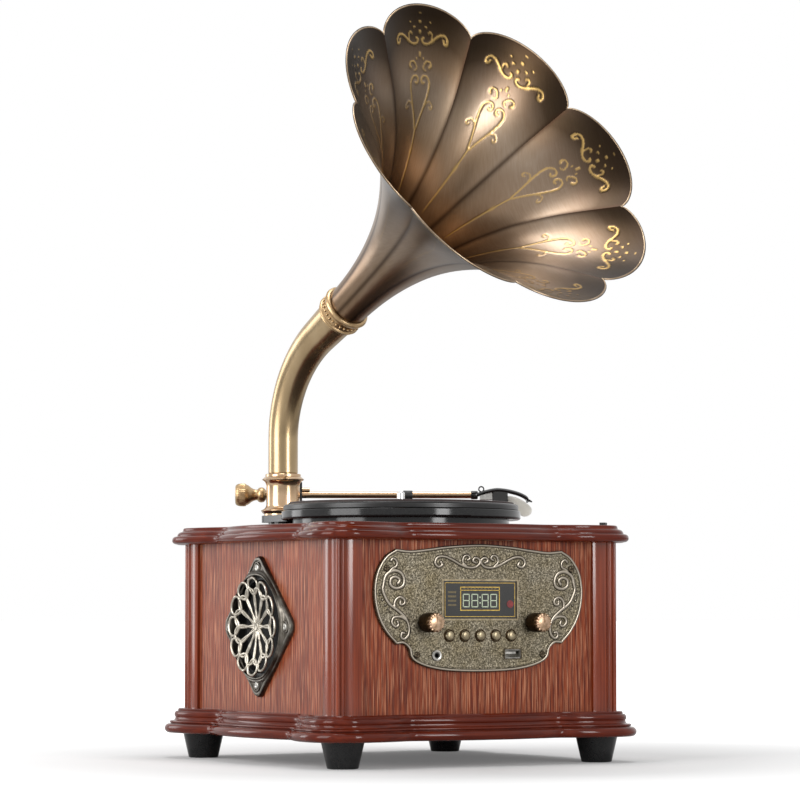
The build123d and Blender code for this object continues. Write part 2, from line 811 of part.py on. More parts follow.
inlet_flange = 3.0
inlet_depth = 24.0
inlet_cavity = (20.0, 12.0, 14.0)
pin_radius = 1.2
pin_spacing = 8.6
pin_length = 11.0
with BuildPart() as mains_inlet:
    with BuildSketch(Plane.XZ.offset(-panel_face)):
        with Locations(inlet_at):
            Rectangle(inlet_size[0], inlet_size[1])
    extrude(amount=inlet_depth)
    with BuildSketch(Plane.XZ.offset(-panel_face)):
        with Locations(inlet_at):
            RectangleRounded(inlet_size[0] + 2 * inlet_flange, inlet_size[1] + 2 * inlet_flange,
                             inlet_flange)
    extrude(amount=-inlet_flange / 2)
    with BuildSketch(Plane.XZ.offset(-panel_face - inlet_flange / 2)):
        with Locations(inlet_at):
            RectangleRounded(inlet_cavity[0], inlet_cavity[1], inlet_flange)
    extrude(amount=inlet_cavity[2], mode=Mode.SUBTRACT)
    with BuildSketch(Plane.XZ.offset(-panel_face - inlet_flange / 2 + inlet_cavity[2])):
        with Locations(inlet_at):
            with GridLocations(pin_spacing, 0, 2, 1):
                Circle(pin_radius)
    extrude(amount=-pin_length)
save(mains_inlet.part, "mains_inlet")

# Deck: a round moulded top with ears for the horn post and the arm
def along_arm(reach, aside=0.0):
    """Plan point at a distance along the resting arm, and aside away from the front."""
    c, s = cos(radians(arm_rest_angle)), sin(radians(arm_rest_angle))
    return (arm_pivot[0] + reach * c + aside * s, arm_pivot[1] - reach * s + aside * c)


def toward(start, end, share):
    """Plan point part of the way from one point to another."""
    return (start[0] + (end[0] - start[0]) * share, start[1] + (end[1] - start[1]) * share)


rest_at = along_arm(rest_reach)
ear_root_radius = 60.0
ear_root_share = 0.3
lug_root_share = 0.7
ear_support_radius = 13.0
lug_support_radius = 6.0
deck_round = 2.0
wall_round = 1.0
motor_hole = 2.4
with BuildPart() as deck:
    with BuildSketch(Plane.XY.offset(deck_bottom)):
        with Locations(spindle_at):
            Circle(deck_radius)
    extrude(amount=deck_top - deck_bottom)
    fillet(deck.edges().group_by(Axis.Z)[0], deck_round)
    fillet(deck.edges().group_by(Axis.Z)[-1], wall_round)
    with BuildSketch(Plane.XY.offset(deck_bottom)):
        with Locations(post_at):
            Circle(ear_post_radius)
        with Locations(arm_pivot):
            Circle(ear_arm_radius)
        with Locations(toward(spindle_at, post_at, ear_root_share)):
            Circle(ear_root_radius)
        make_hull()
    extrude(amount=ear_top - deck_bottom)
    with BuildSketch(Plane.XY.offset(deck_bottom)):
        with Locations(rest_at):
            Circle(ear_rest_radius)
        with Locations(toward(spindle_at, rest_at, lug_root_share)):
            Circle(ear_rest_radius)
        make_hull()
    extrude(amount=ear_top - deck_bottom)
    with BuildSketch(Plane.XY.offset(board_top)):
        with Locations(spindle_at):
            Circle(deck_plinth_radius)
        with Locations(post_at):
            Circle(ear_support_radius)
        with Locations(rest_at, arm_pivot):
            Circle(lug_support_radius)
    extrude(amount=deck_bottom - board_top)
    with BuildSketch(Plane.XY.offset(well_floor)):
        with Locations(spindle_at):
            Circle(well_radius)
    extrude(amount=deck_top - well_floor, mode=Mode.SUBTRACT)
    with BuildSketch(Plane.XY.offset(bearing_bottom)):
        with Locations(spindle_at):
            Circle(bearing_radius)
    extrude(amount=bearing_top - bearing_bottom)
    with BuildSketch(Plane.XY.offset(bearing_bottom)):
        with Locations(spindle_at):
            Circle(shaft_radius + running_clearance)
        with Locations(motor_at):
            Circle(motor_hole)
    extrude(amount=bearing_top - bearing_bottom, mode=Mode.SUBTRACT)
    with BuildSketch(Plane.XY.offset(board_top)):
        with Locations(post_at):
            Circle(stud_radius)
    extrude(amount=deck_top - board_top, mode=Mode.SUBTRACT)
save(deck.part, "deck")

# Motor under the deck, its pulley and the belt
motor_shaft_radius = 1.5
pulley_flange = 1.0
pulley_bottom = belt_level - belt_width / 2 - pulley_flange
motor_bottom = board_top - motor_length
with BuildPart() as motor:
    with BuildSketch(Plane.XY.offset(motor_bottom)):
        with Locations(motor_at):
            Circle(motor_radius)
            Circle(motor_shaft_radius + running_clearance, mode=Mode.SUBTRACT)
    extrude(amount=motor_length)
save(motor.part, "motor")

with BuildPart() as pulley:
    with BuildSketch(Plane.XY.offset(motor_bottom + pulley_flange)):
        with Locations(motor_at):
            Circle(motor_shaft_radius)
    extrude(amount=belt_level + belt_width / 2 - motor_bottom)
    with BuildSketch(Plane.XY.offset(pulley_bottom)):
        with Locations(motor_at):
            Circle(pulley_radius)
    extrude(amount=belt_width + pulley_flange)
    with BuildSketch(Plane.XY.offset(pulley_bottom)):
        with Locations(motor_at):
            Circle(pulley_radius + 2 * belt_thickness)
    extrude(amount=pulley_flange - belt_clearance)
save(pulley.part, "pulley")

with BuildPart() as belt:
    for grow, mode in ((belt_clearance + belt_thickness, Mode.ADD), (belt_clearance, Mode.SUBTRACT)):
        with BuildSketch(Plane.XY.offset(belt_level - belt_width / 2)):
            with Locations(spindle_at):
                Circle(sub_rim_radius + grow)
            with Locations(motor_at):
                Circle(pulley_radius + grow)
            make_hull()
        extrude(amount=belt_width, mode=mode)
save(belt.part, "belt")

# Platter, mat and spindle turn together
sub_rim_bottom = 207.8
hub_bottom = bearing_top + travel_gap
hub_outer = 12.0
platter_edge = 2.2
mat_edge = 0.9
mat_hole = 5.4
spindle_edge = 1.8
with BuildPart() as platter:
    with BuildSketch(Plane.XY.offset(platter_bottom)):
        with Locations(spindle_at):
            Circle(platter_radius)
    extrude(amount=platter_top - platter_bottom)
    fillet(platter.edges().group_by(Axis.Z)[-1], platter_edge)
    with BuildSketch(Plane.XY.offset(sub_rim_bottom)):
        with Locations(spindle_at):
            Circle(sub_rim_radius)
            Circle(sub_rim_radius - sub_rim_wall, mode=Mode.SUBTRACT)
    extrude(amount=platter_bottom - sub_rim_bottom)
    with BuildSketch(Plane.XY.offset(hub_bottom)):
        with Locations(spindle_at):
            Circle(hub_outer)
    extrude(amount=platter_bottom - hub_bottom)
    with BuildSketch(Plane.XY.offset(hub_bottom)):
        with Locations(spindle_at):
            Circle(shaft_radius)
    extrude(amount=platter_top - hub_bottom, mode=Mode.SUBTRACT)
save(platter.part, "platter")

with BuildPart() as mat:
    with BuildSketch(Plane.XY.offset(platter_top)):
        with Locations(spindle_at):
            Circle(mat_radius)
    extrude(amount=mat_top - platter_top)
    fillet(mat.edges().group_by(Axis.Z)[-1], mat_edge)
    with BuildSketch(Plane.XY.offset(platter_top)):
        with Locations(spindle_at):
            Circle(mat_hole)
    extrude(amount=mat_top - platter_top, mode=Mode.SUBTRACT)
save(mat.part, "mat")

with BuildPart() as spindle:
    with BuildSketch(Plane.XY.offset(bearing_bottom + travel_gap)):
        with Locations(spindle_at):
            Circle(shaft_radius)
    extrude(amount=platter_top - bearing_bottom - travel_gap)
    with BuildSketch(Plane.XY.offset(platter_top)):
        with Locations(spindle_at):
            Circle(spindle_radius)
    extrude(amount=spindle_top - platter_top)
    fillet(spindle.edges().group_by(Axis.Z)[-1], spindle_edge)
save(spindle.part, "spindle")

# Speed selector: a small slider in a slot of the top board
with BuildPart() as speed_selector:
    with BuildSketch(Plane.XY.offset(selector_bottom)):
        with Locations(selector_place):
            Rectangle(*selector_stem)
    extrude(amount=board_top + travel_gap - selector_bottom)
    with BuildSketch(Plane.XY.offset(board_top + travel_gap)):
        with Locations(selector_place):
            Rectangle(*selector_cap)
    extrude(amount=selector_top - board_top - travel_gap)
save(speed_selector.part, "speed_selector")

# Tone arm: fixed base, swinging yoke, arm tube with its weight, and the head
arm_dir = (cos(radians(arm_rest_angle)), -sin(radians(arm_rest_angle)), 0)
arm_side = (-sin(radians(arm_rest_angle)), -cos(radians(arm_rest_angle)), 0)


def arm_profile():
    """Plane through the arm: x is the reach along the arm and y is the height."""
    return Plane(origin=(arm_pivot[0], arm_pivot[1], 0), x_dir=arm_dir, z_dir=arm_side)


def arm_cross(reach):
    """Plane across the arm at a reach; x is aside and y is the height over the arm."""
    at = along_arm(reach)
    return Plane(origin=(at[0], at[1], arm_level), x_dir=arm_side,
                 z_dir=(-arm_dir[0], -arm_dir[1], 0))


base_radius = 9.0
base_top = 224.0
pivot_pin_radius = 3.0
pivot_pin_top = 229.2
yoke_floor = base_top + travel_gap
yoke_floor_top = 228.2
cheek_inner = 4.2
cheek_thickness = 2.5
cheek_half = 4.6
cheek_top = 245.1
bridge_bottom = 241.6
hinge_radius = 1.2
with BuildPart() as arm_base:
    with BuildSketch(Plane.XY.offset(ear_top)):
        with Locations(arm_pivot):
            Circle(base_radius)
    extrude(amount=base_top - ear_top)
    fillet(arm_base.edges().group_by(Axis.Z)[-1], wall_round)
    with BuildSketch(Plane.XY.offset(base_top)):
        with Locations(arm_pivot):
            Circle(pivot_pin_radius)
    extrude(amount=pivot_pin_top - base_top)
save(arm_base.part, "arm_base")

with BuildPart() as arm_yoke:
    with BuildSketch(Plane.XY.offset(yoke_floor)):
        with Locations(arm_pivot):
            Circle(base_radius)
    extrude(amount=yoke_floor_top - yoke_floor)
    cheek_width = 2 * (cheek_inner + cheek_thickness)
    with BuildSketch(Plane.XY.offset(yoke_floor_top)):
        with Locations(Location((arm_pivot[0], arm_pivot[1], 0), (0, 0, -arm_rest_angle))):
            Rectangle(2 * cheek_half, cheek_width)
    extrude(amount=cheek_top - yoke_floor_top)
    with BuildSketch(Plane.XY.offset(yoke_floor_top)):
        with Locations(Location((arm_pivot[0], arm_pivot[1], 0), (0, 0, -arm_rest_angle))):
            Rectangle(4 * cheek_half, 2 * cheek_inner)
    extrude(amount=bridge_bottom - yoke_floor_top, mode=Mode.SUBTRACT)
    fillet(arm_yoke.edges().group_by(Axis.Z)[-1], wall_round)
    with BuildSketch(Plane.XY.offset(yoke_floor)):
        with Locations(arm_pivot):
            Circle(pivot_pin_radius + running_clearance)
    extrude(amount=pivot_pin_top - yoke_floor + travel_gap, mode=Mode.SUBTRACT)
    with BuildSketch(arm_profile()):
        with Locations((0, arm_level)):
            Circle(hinge_radius + running_clearance)
    extrude(amount=cheek_width, both=True, mode=Mode.SUBTRACT)
save(arm_yoke.part, "arm_yoke")

tail_end = -50.0
tube_bore = 2.2
bore_start = 14.0
boss_radius = 2.3
boss_level = 4.2
boss_end = 11.5
sleeve_radius = 3.8
sleeve_half = 4.1
with BuildPart() as arm_tube:
    with BuildSketch(arm_cross(arm_reach)):
        Circle(arm_tube_radius)
    extrude(amount=arm_reach - tail_end)
    with BuildSketch(arm_cross(boss_end)):
        with Locations((0, boss_level)):
            Circle(boss_radius)
    extrude(amount=boss_end + cheek_half)
    with BuildSketch(arm_profile()):
        with Locations((0, arm_level)):
            Circle(hinge_radius)
    extrude(amount=cheek_inner + cheek_thickness, both=True)
    with BuildSketch(arm_cross(rest_reach + sleeve_half)):
        Circle(sleeve_radius)
    extrude(amount=2 * sleeve_half)
    with BuildSketch(arm_cross(arm_reach)):
        Circle(tube_bore)
    extrude(amount=arm_reach - bore_start, mode=Mode.SUBTRACT)
save(arm_tube.part, "arm_tube")

weight_profile = ((-55.6, 8.4), (-54.4, 9.6), (-50.5, 10.3), (-46.5, 10.2), (-42.0, 8.4),
                  (-37.0, 4.8))
weight_bead = ((-34.4, 6.3), (-32.0, 6.8), (-29.6, 6.3), (-27.9, 4.4))
with BuildPart() as counterweight:
    with BuildSketch(arm_profile()):
        with BuildLine():
            lift = [(s, arm_level + r) for s, r in weight_profile]
            bead = [(s, arm_level + r) for s, r in weight_bead]
            Polyline((tail_end, arm_level), (-counter_end, arm_level), lift[0])
            Spline(*lift)
            Spline(lift[-1], *bead)
            Polyline(bead[-1], (bead[-1][0], arm_level + arm_tube_radius),
                     (tail_end, arm_level + arm_tube_radius), (tail_end, arm_level))
        make_face()
    revolve(axis=Axis((arm_pivot[0], arm_pivot[1], arm_level), arm_dir))
save(counterweight.part, "counterweight")

collar_radius = 3.8
canopy_outer = ((162.8, 235.4), (170.0, 238.2), (181.9, 240.0), (191.0, 238.9), (200.3, 236.5),
                (206.5, 233.6), (209.0, 231.0))
canopy_inner = ((207.4, 230.6), (205.4, 232.4), (199.8, 235.0), (190.5, 237.3), (181.9, 238.4),
                (170.8, 236.6), (162.8, 233.4))
canopy_half = 7.6
canopy_end = 228.7
lip = ((207.4, 229.6), (209.0, 229.6), (212.3, 227.4), (212.1, 226.5), (207.4, 228.0))
lip_half = 4.0
loop_at = (166.4, 238.9)
loop_radius = 2.9
loop_hole = 1.7
loop_half = 0.9
with BuildPart() as head_shell:
    with BuildSketch(arm_cross(arm_reach)):
        Circle(collar_radius)
    extrude(amount=arm_reach - canopy_outer[0][0])
    with BuildSketch(arm_profile()):
        with BuildLine():
            Spline(*canopy_outer)
            Polyline(canopy_outer[-1], (canopy_outer[-1][0], canopy_end),
                     (canopy_inner[0][0], canopy_end), canopy_inner[0])
            Spline(*canopy_inner)
            Line(canopy_inner[-1], canopy_outer[0])
        make_face()
    extrude(amount=canopy_half, both=True)
    with BuildSketch(arm_profile()):
        with BuildLine():
            Polyline(*lip, close=True)
        make_face()
    extrude(amount=lip_half, both=True)
    with BuildSketch(arm_profile()):
        with Locations(loop_at):
            Circle(loop_radius)
            Circle(loop_hole, mode=Mode.SUBTRACT)
    extrude(amount=loop_half, both=True)
save(head_shell.part, "head_shell")

plug_shape = ((165.2, 229.0), (176.7, 229.0), (176.7, 238.4), (165.2, 234.9))
plug_half = 5.0
body_shape = ((176.7, 226.6), (190.2, 226.6), (190.2, 237.9), (187.0, 239.0), (176.7, 239.0))
body_half = 6.8
lever_shape = ((188.0, 230.0), (191.0, 229.6), (198.0, 227.4), (202.4, 223.8), (203.8, 219.2),
               (203.2, 217.4), (202.4, 219.0), (201.4, 223.0), (197.4, 226.2), (190.8, 228.4),
               (188.0, 228.8))
lever_half = 0.6
with BuildPart() as cartridge:
    for shape, half in ((plug_shape, plug_half), (body_shape, body_half),
                        (lever_shape, lever_half)):
        with BuildSketch(arm_profile()):
            with BuildLine():
                Polyline(*shape, close=True)
            make_face()
        extrude(amount=half, both=True)
    add(head_shell.part, mode=Mode.SUBTRACT)
save(cartridge.part, "cartridge")

guard_shape = ((190.5, 232.6), (197.5, 231.5), (203.5, 228.6), (208.6, 225.0), (211.8, 220.6),
               (210.6, 216.2), (206.6, 214.2), (202.4, 215.4), (200.2, 218.6), (198.4, 222.4),
               (195.0, 224.9), (190.5, 226.2))
guard_roof = ((189.0, 231.6), (197.2, 230.2), (202.8, 227.4), (207.4, 224.2), (209.8, 220.6),
              (208.4, 217.0), (206.4, 215.8))
guard_throat = ((204.4, 212.0), (189.0, 212.0))
guard_half = 3.2
cavity_half = 2.2
with BuildPart() as stylus_guard:
    with BuildSketch(arm_profile()):
        with BuildLine():
            Spline(*guard_shape)
            Line(guard_shape[-1], guard_shape[0])
        make_face()
    extrude(amount=guard_half, both=True)
    with BuildSketch(arm_profile()):
        with BuildLine():
            Spline(*guard_roof)
            Polyline(guard_roof[-1], *guard_throat, guard_roof[0])
        make_face()
    extrude(amount=cavity_half, both=True, mode=Mode.SUBTRACT)
save(stylus_guard.part, "stylus_guard")

# Arm rest: a small post with a shelf and an outer stop on the deck's lug
rest_post_radius = 3.5
shelf_top = arm_level - sleeve_radius - travel_gap
shelf_thickness = 2.4
stop_top = 235.6
stop_thickness = 2.0
shelf_inner = 4.4
stop_start = sleeve_radius + rest_clearance
with BuildPart() as arm_rest:
    with BuildSketch(Plane.XY.offset(ear_top)):
        with Locations(rest_at):
            Circle(rest_post_radius)
    extrude(amount=shelf_top - shelf_thickness - ear_top)
    with BuildSketch(arm_cross(rest_reach + sleeve_half)):
        with BuildLine():
            Polyline((shelf_inner, shelf_top - arm_level),
                     (-stop_start, shelf_top - arm_level),
                     (-stop_start, stop_top - arm_level),
                     (-stop_start - stop_thickness, stop_top - arm_level),
                     (-stop_start - stop_thickness, shelf_top - shelf_thickness - arm_level),
                     (shelf_inner, shelf_top - shelf_thickness - arm_level), close=True)
        make_face()
    extrude(amount=2 * sleeve_half)
save(arm_rest.part, "arm_rest")

# Horn post: a turned brass column on a stud that clamps the deck
foot_ring_radius = 17.0
foot_ring_top = 215.6
lower_flange = (19.6, 218.1)
lower_cove = (16.2, 220.2)
lower_body = 223.4
upper_body = 240.2
upper_cove = (15.9, 243.8)
upper_flange = (18.7, 245.8)
upper_ring = 15.9
upper_ring_bottom = 248.2
stud_bottom = 172.0
socket_bottom = 226.0
ring_round = 0.8
with BuildPart() as horn_post:
    with BuildSketch(Plane(origin=(post_at[0], post_at[1], 0), x_dir=(1, 0, 0),
                           z_dir=(0, -1, 0))):
        with BuildLine():
            Polyline((socket_radius, post_top), (socket_radius, socket_bottom),
                     (0, socket_bottom), (0, stud_bottom), (stud_radius, stud_bottom),
                     (stud_radius, ear_top), (foot_ring_radius, ear_top),
                     (foot_ring_radius, foot_ring_top), lower_flange)
            ThreePointArc(lower_flange, lower_cove, (post_radius, lower_body))
            Line((post_radius, lower_body), (post_radius, upper_body))
            ThreePointArc((post_radius, upper_body), upper_cove, upper_flange)
            Polyline(upper_flange, (upper_ring, upper_ring_bottom),
                     (upper_ring, post_top - ring_round),
                     (upper_ring - ring_round, post_top), (socket_radius, post_top))
        make_face()
    revolve(axis=Axis((post_at[0], post_at[1], 0), (0, 0, 1)))
save(horn_post.part, "horn_post")

nut_radius = 10.5
nut_height = 8.0
with BuildPart() as post_nut:
    with BuildSketch(Plane.XY.offset(panel_top - nut_height)):
        with Locations(post_at):
            RegularPolygon(nut_radius, 6)
            Circle(stud_radius, mode=Mode.SUBTRACT)
    extrude(amount=nut_height)
save(post_nut.part, "post_nut")

# Horn elbow: a tapering brass tube bent from upright to the horn's axis
heading = (sin(radians(horn_heading)), -cos(radians(horn_heading)))
elbow_bottom = post_top + travel_gap
upright_run = elbow_bend_start - elbow_bottom
bend_run = elbow_bend_radius * radians(90 - horn_rise)
elbow_run = upright_run + bend_run + elbow_straight
side_dir = (-heading[1], heading[0], 0)


def elbow_frame(run):
    """Plane across the elbow at a run along its middle line."""
    if run <= upright_run:
        reach, level, rise = 0.0, elbow_bottom + run, 90.0
    elif run <= upright_run + bend_run:
        turn = (run - upright_run) / elbow_bend_radius
        reach = elbow_bend_radius * (1 - cos(turn))
        level = elbow_bend_start + elbow_bend_radius * sin(turn)
        rise = 90.0 - degrees(turn)
    else:
        on = run - upright_run - bend_run
        turn = radians(90 - horn_rise)
        reach = elbow_bend_radius * (1 - cos(turn)) + on * cos(radians(horn_rise))
        level = (elbow_bend_start + elbow_bend_radius * sin(turn)
                 + on * sin(radians(horn_rise)))
        rise = horn_rise
    flat = cos(radians(rise))
    return Plane(origin=(post_at[0] + heading[0] * reach, post_at[1] + heading[1] * reach, level),
                 x_dir=side_dir,
                 z_dir=(heading[0] * flat, heading[1] * flat, sin(radians(rise))))


elbow_taper_power = 1.6


def elbow_radius(run):
    """Outside radius of the elbow at a run along its middle line."""
    share = max(0.0, run - upright_run) / (elbow_run - upright_run)
    return elbow_start_radius + (elbow_end_radius - elbow_start_radius) * share ** elbow_taper_power


elbow_sections = 12
with BuildPart() as elbow:
    for index in range(elbow_sections):
        run = elbow_run * index / (elbow_sections - 1)
        with BuildSketch(elbow_frame(run)):
            Circle(elbow_radius(run))
    loft()
    with BuildSketch(Plane.XY.offset(socket_bottom + travel_gap)):
        with Locations(post_at):
            Circle(elbow_spigot_radius)
    extrude(amount=elbow_bottom - socket_bottom - travel_gap)
    for index in range(elbow_sections):
        run = elbow_run * index / (elbow_sections - 1)
        with BuildSketch(elbow_frame(run)):
            Circle(elbow_radius(run) - horn_wall - (elbow_start_radius - elbow_spigot_radius))
    loft(mode=Mode.SUBTRACT)
    with BuildSketch(Plane.XY.offset(socket_bottom)):
        with Locations(post_at):
            Circle(elbow_spigot_radius - horn_wall)
    extrude(amount=elbow_bottom - socket_bottom, mode=Mode.SUBTRACT)
save(elbow.part, "elbow")

# Horn axis: origin at the middle of the mouth
axis_dir = (heading[0] * cos(radians(horn_rise)), heading[1] * cos(radians(horn_rise)),
            sin(radians(horn_rise)))
elbow_tip = elbow_frame(elbow_run).origin
mouth = (post_at[0] + heading[0] * mouth_reach, post_at[1] + heading[1] * mouth_reach,
         mouth_level)
throat = -hypot(mouth[0] - elbow_tip.X, mouth[1] - elbow_tip.Y, mouth[2] - elbow_tip.Z)


def horn_frame(along):
    """Plane across the horn at a distance along its axis from the mouth."""
    return Plane(origin=(mouth[0] + axis_dir[0] * along, mouth[1] + axis_dir[1] * along,
                         mouth[2] + axis_dir[2] * along), x_dir=side_dir, z_dir=axis_dir)


# Collar: a beaded brass ring over the joint of elbow and horn
collar_back = 8.0
collar_front = 9.0
throat_flare = 18.4
throat_taper = 0.4
collar_play = 0.4
collar_outer = ((18.9, -8.0), (19.0, -6.4), (20.6, -4.6), (20.4, 0.0), (20.9, 4.0),
                (22.0, 6.0), (21.6, 8.0), (20.4, 9.0))
with BuildPart() as elbow_collar:
    cut_plane = Plane(origin=horn_frame(throat).origin, x_dir=side_dir,
                      z_dir=Vector(*side_dir).cross(Vector(*axis_dir)))
    with BuildSketch(cut_plane):
        with BuildLine():
            Spline(*collar_outer)
            Polyline(collar_outer[-1], (throat_flare + collar_play, collar_front),
                     (elbow_end_radius + collar_play, 0),
                     (elbow_end_radius - throat_taper + collar_play, -collar_back),
                     collar_outer[0])
        make_face()
    revolve(axis=Axis(horn_frame(throat).origin, axis_dir))
save(elbow_collar.part, "elbow_collar")

# Horn bell: eight petals that meet in creases and end in a scalloped rim
bell_stations = ((throat + 0.2, 18.0, 18.0), (-205.0, 18.9, 18.9), (-180.0, 21.6, 21.6),
                 (-150.0, 27.8, 27.9), (-120.0, 37.5, 38.0), (-90.0, 52.0, 53.2),
                 (-60.0, 72.0, 74.3), (-35.0, 95.0, 98.8), (-12.0, 123.0, 128.5),
                 (0.0, 138.3, 144.5), (9.5, 151.4, 156.4), (15.0, 159.4, 164.6))
crease_angle = 28.65
petal_step = 360 / petal_count
rim_points = 8
rim_power = 0.7
prism_back = 4.0


def petal_ring(crease_radius, middle_radius):
    """Draw eight arcs, crease to crease, in the active line."""
    for petal in range(petal_count):
        points = []
        for share, radius in ((0, crease_radius), (0.5, middle_radius), (1, crease_radius)):
            angle = radians(crease_angle + (petal + share) * petal_step)
            points.append((radius * cos(angle), radius * sin(angle)))
        ThreePointArc(*points)


def wall_across(index, column):
    """Width of the sheet measured across the axis, from the slope of the stations."""
    low = bell_stations[max(index - 1, 0)]
    high = bell_stations[min(index + 1, len(bell_stations) - 1)]
    slope = (high[column] - low[column]) / (high[0] - low[0])
    return horn_wall * sqrt(1 + slope ** 2)


with BuildPart() as horn_bell:
    for along, crease_radius, middle_radius in bell_stations:
        with BuildSketch(horn_frame(along)):
            with BuildLine():
                petal_ring(crease_radius, middle_radius)
            make_face()
    loft()
    for index, (along, crease_radius, middle_radius) in enumerate(bell_stations):
        with BuildSketch(horn_frame(along)):
            with BuildLine():
                petal_ring(crease_radius - wall_across(index, 1),
                           middle_radius - wall_across(index, 2))
            make_face()
    loft(mode=Mode.SUBTRACT)
    with BuildSketch(horn_frame(throat - prism_back)):
        with BuildLine():
            for petal in range(petal_count):
                points = []
                for step in range(rim_points + 1):
                    share = step / rim_points
                    swell = (1 - abs(2 * share - 1) ** 2) ** rim_power
                    radius = cusp_radius + (tip_radius - cusp_radius) * swell
                    angle = radians(crease_angle + (petal + share) * petal_step)
                    points.append((radius * cos(angle), radius * sin(angle)))
                Spline(*points)
        make_face()
    extrude(amount=bell_stations[-1][0] - throat + 2 * prism_back, mode=Mode.INTERSECT)
save(horn_bell.part, "horn_bell")

# Writing: the middle of the whole object's floor area becomes the origin
box = Compound(children=[copy(piece) for piece in pieces]).bounding_box()
shift = Location((-(box.min.X + box.max.X) / 2, -(box.min.Y + box.max.Y) / 2, 0))
for piece in pieces:
    name = piece.label
    placed = piece.moved(shift)
    placed.label = name
    export_step(placed, "parts/" + name + ".step")
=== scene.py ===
"""The looks of a horn gramophone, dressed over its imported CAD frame.

Sizes are in millimetres about the middle of the cabinet, with the front plate facing -Y.
"""

import math

import bmesh
import bpy
import numpy as np
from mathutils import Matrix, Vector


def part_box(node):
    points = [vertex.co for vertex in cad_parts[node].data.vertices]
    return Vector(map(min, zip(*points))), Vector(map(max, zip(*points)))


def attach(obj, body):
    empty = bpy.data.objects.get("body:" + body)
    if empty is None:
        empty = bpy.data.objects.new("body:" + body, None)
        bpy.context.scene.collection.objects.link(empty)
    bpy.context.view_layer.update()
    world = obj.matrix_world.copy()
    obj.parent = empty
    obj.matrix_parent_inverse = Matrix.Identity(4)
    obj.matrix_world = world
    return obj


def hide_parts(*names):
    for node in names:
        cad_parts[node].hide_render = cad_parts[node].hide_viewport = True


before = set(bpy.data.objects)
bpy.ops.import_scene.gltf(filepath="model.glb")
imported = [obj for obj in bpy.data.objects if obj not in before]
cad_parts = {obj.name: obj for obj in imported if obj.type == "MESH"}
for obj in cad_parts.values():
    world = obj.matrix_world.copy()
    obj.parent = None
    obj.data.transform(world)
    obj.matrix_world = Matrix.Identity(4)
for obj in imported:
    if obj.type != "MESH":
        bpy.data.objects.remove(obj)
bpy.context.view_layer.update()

# Veneered panels
# Four boards veneered with open-grained red mahogany, the figure standing upright.
# Satin lacquer: the pores stay open and hold pale pinkish dust; their pale colour is partly a
# painted highlight.
# The frame stands about the middle of the floor area, so the spindle shows where the cabinet is.
spindle_low, spindle_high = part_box("spindle")
spindle_x, spindle_y = -9.0, -22.0
origin_x = 500 * (spindle_low[0] + spindle_high[0]) - spindle_x
origin_y = 500 * (spindle_low[1] + spindle_high[1]) - spindle_y


def colour(code):
    """An sRGB hex value as linear red, green, blue and alpha."""
    parts = [int(code[i:i + 2], 16) / 255 for i in (0, 2, 4)]
    return [v / 12.92 if v <= 0.04045 else ((v + 0.055) / 1.055) ** 2.4 for v in parts] + [1.0]


def add(tree, kind, values=None, links=None, **settings):
    """Adds one node with its settings, its socket values and its incoming links."""
    node = tree.nodes.new(kind)
    for key, value in settings.items():
        setattr(node, key, value)
    for key, value in (values or {}).items():
        node.inputs[key].default_value = value
    for key, socket in (links or {}).items():
        tree.links.new(socket, node.inputs[key])
    return node


def finish(name, **values):
    """A new material with the shader's values, its tree and its shader."""
    material = bpy.data.materials.new(name)
    material.use_nodes = True
    shader = material.node_tree.nodes["Principled BSDF"]
    for key, value in values.items():
        shader.inputs[key.replace("_", " ")].default_value = value
    return material, material.node_tree, shader


def ramp(tree, socket, stops):
    """A colour ramp over a value; stops are (place, hex) pairs."""
    node = add(tree, "ShaderNodeValToRGB", links={"Fac": socket})
    while len(node.color_ramp.elements) < len(stops):
        node.color_ramp.elements.new(0.5)
    for element, (place, code) in zip(node.color_ramp.elements, stops):
        element.position = place
        element.color = colour(code)
    return node.outputs["Color"]


def blobs(tree, vector, scale, detail, rough):
    """Noise over a position that is first scaled along x, y and z."""
    scaled = add(tree, "ShaderNodeMapping", {"Scale": scale}, {"Vector": vector})
    noise = add(tree, "ShaderNodeTexNoise", {"Scale": 1.0, "Detail": detail, "Roughness": rough},
                {"Vector": scaled.outputs["Vector"]})
    return noise.outputs["Fac"]


def stretched(tree, size_mm, detail=4.0, rough=0.55):
    """Noise whose blobs measure size_mm, one number or three, along x, y and z of the object."""
    place = add(tree, "ShaderNodeTexCoord")
    scale = [1000 / float(size) for size in np.broadcast_to(size_mm, 3)]
    return blobs(tree, place.outputs["Object"], scale, detail, rough)


def blend_colour(tree, kind, share, first, second):
    """Mixes two colours; share may be a number or a socket."""
    node = add(tree, "ShaderNodeMix", data_type="RGBA", blend_type=kind)
    for index, value in ((0, share), (6, first), (7, second)):
        if isinstance(value, bpy.types.NodeSocket):
            tree.links.new(value, node.inputs[index])
        else:
            node.inputs[index].default_value = value
    return node.outputs[2]


def raise_surface(tree, shader, socket, height_mm, strength=1.0):
    """Bump from a value whose full range stands for height_mm."""
    bump = add(tree, "ShaderNodeBump", {"Distance": height_mm / 1000, "Strength": strength},
               {"Height": socket})
    tree.links.new(bump.outputs["Normal"], shader.inputs["Normal"])


def dress(material, *names):
    """Gives CAD nodes a material."""
    for name in names:
        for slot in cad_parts[name].material_slots:
            slot.material = material


veneer, tree, shader = finish("red_mahogany_veneer", Roughness=0.36, Specular_IOR_Level=0.2)
place = add(tree, "ShaderNodeTexCoord")
axes = add(tree, "ShaderNodeSeparateXYZ", links={"Vector": place.outputs["Object"]})
across = add(tree, "ShaderNodeMath", operation="ADD",
             links={0: axes.outputs["X"], 1: axes.outputs["Y"]})
board = add(tree, "ShaderNodeCombineXYZ", links={"X": across.outputs[0], "Z": axes.outputs["Z"]})


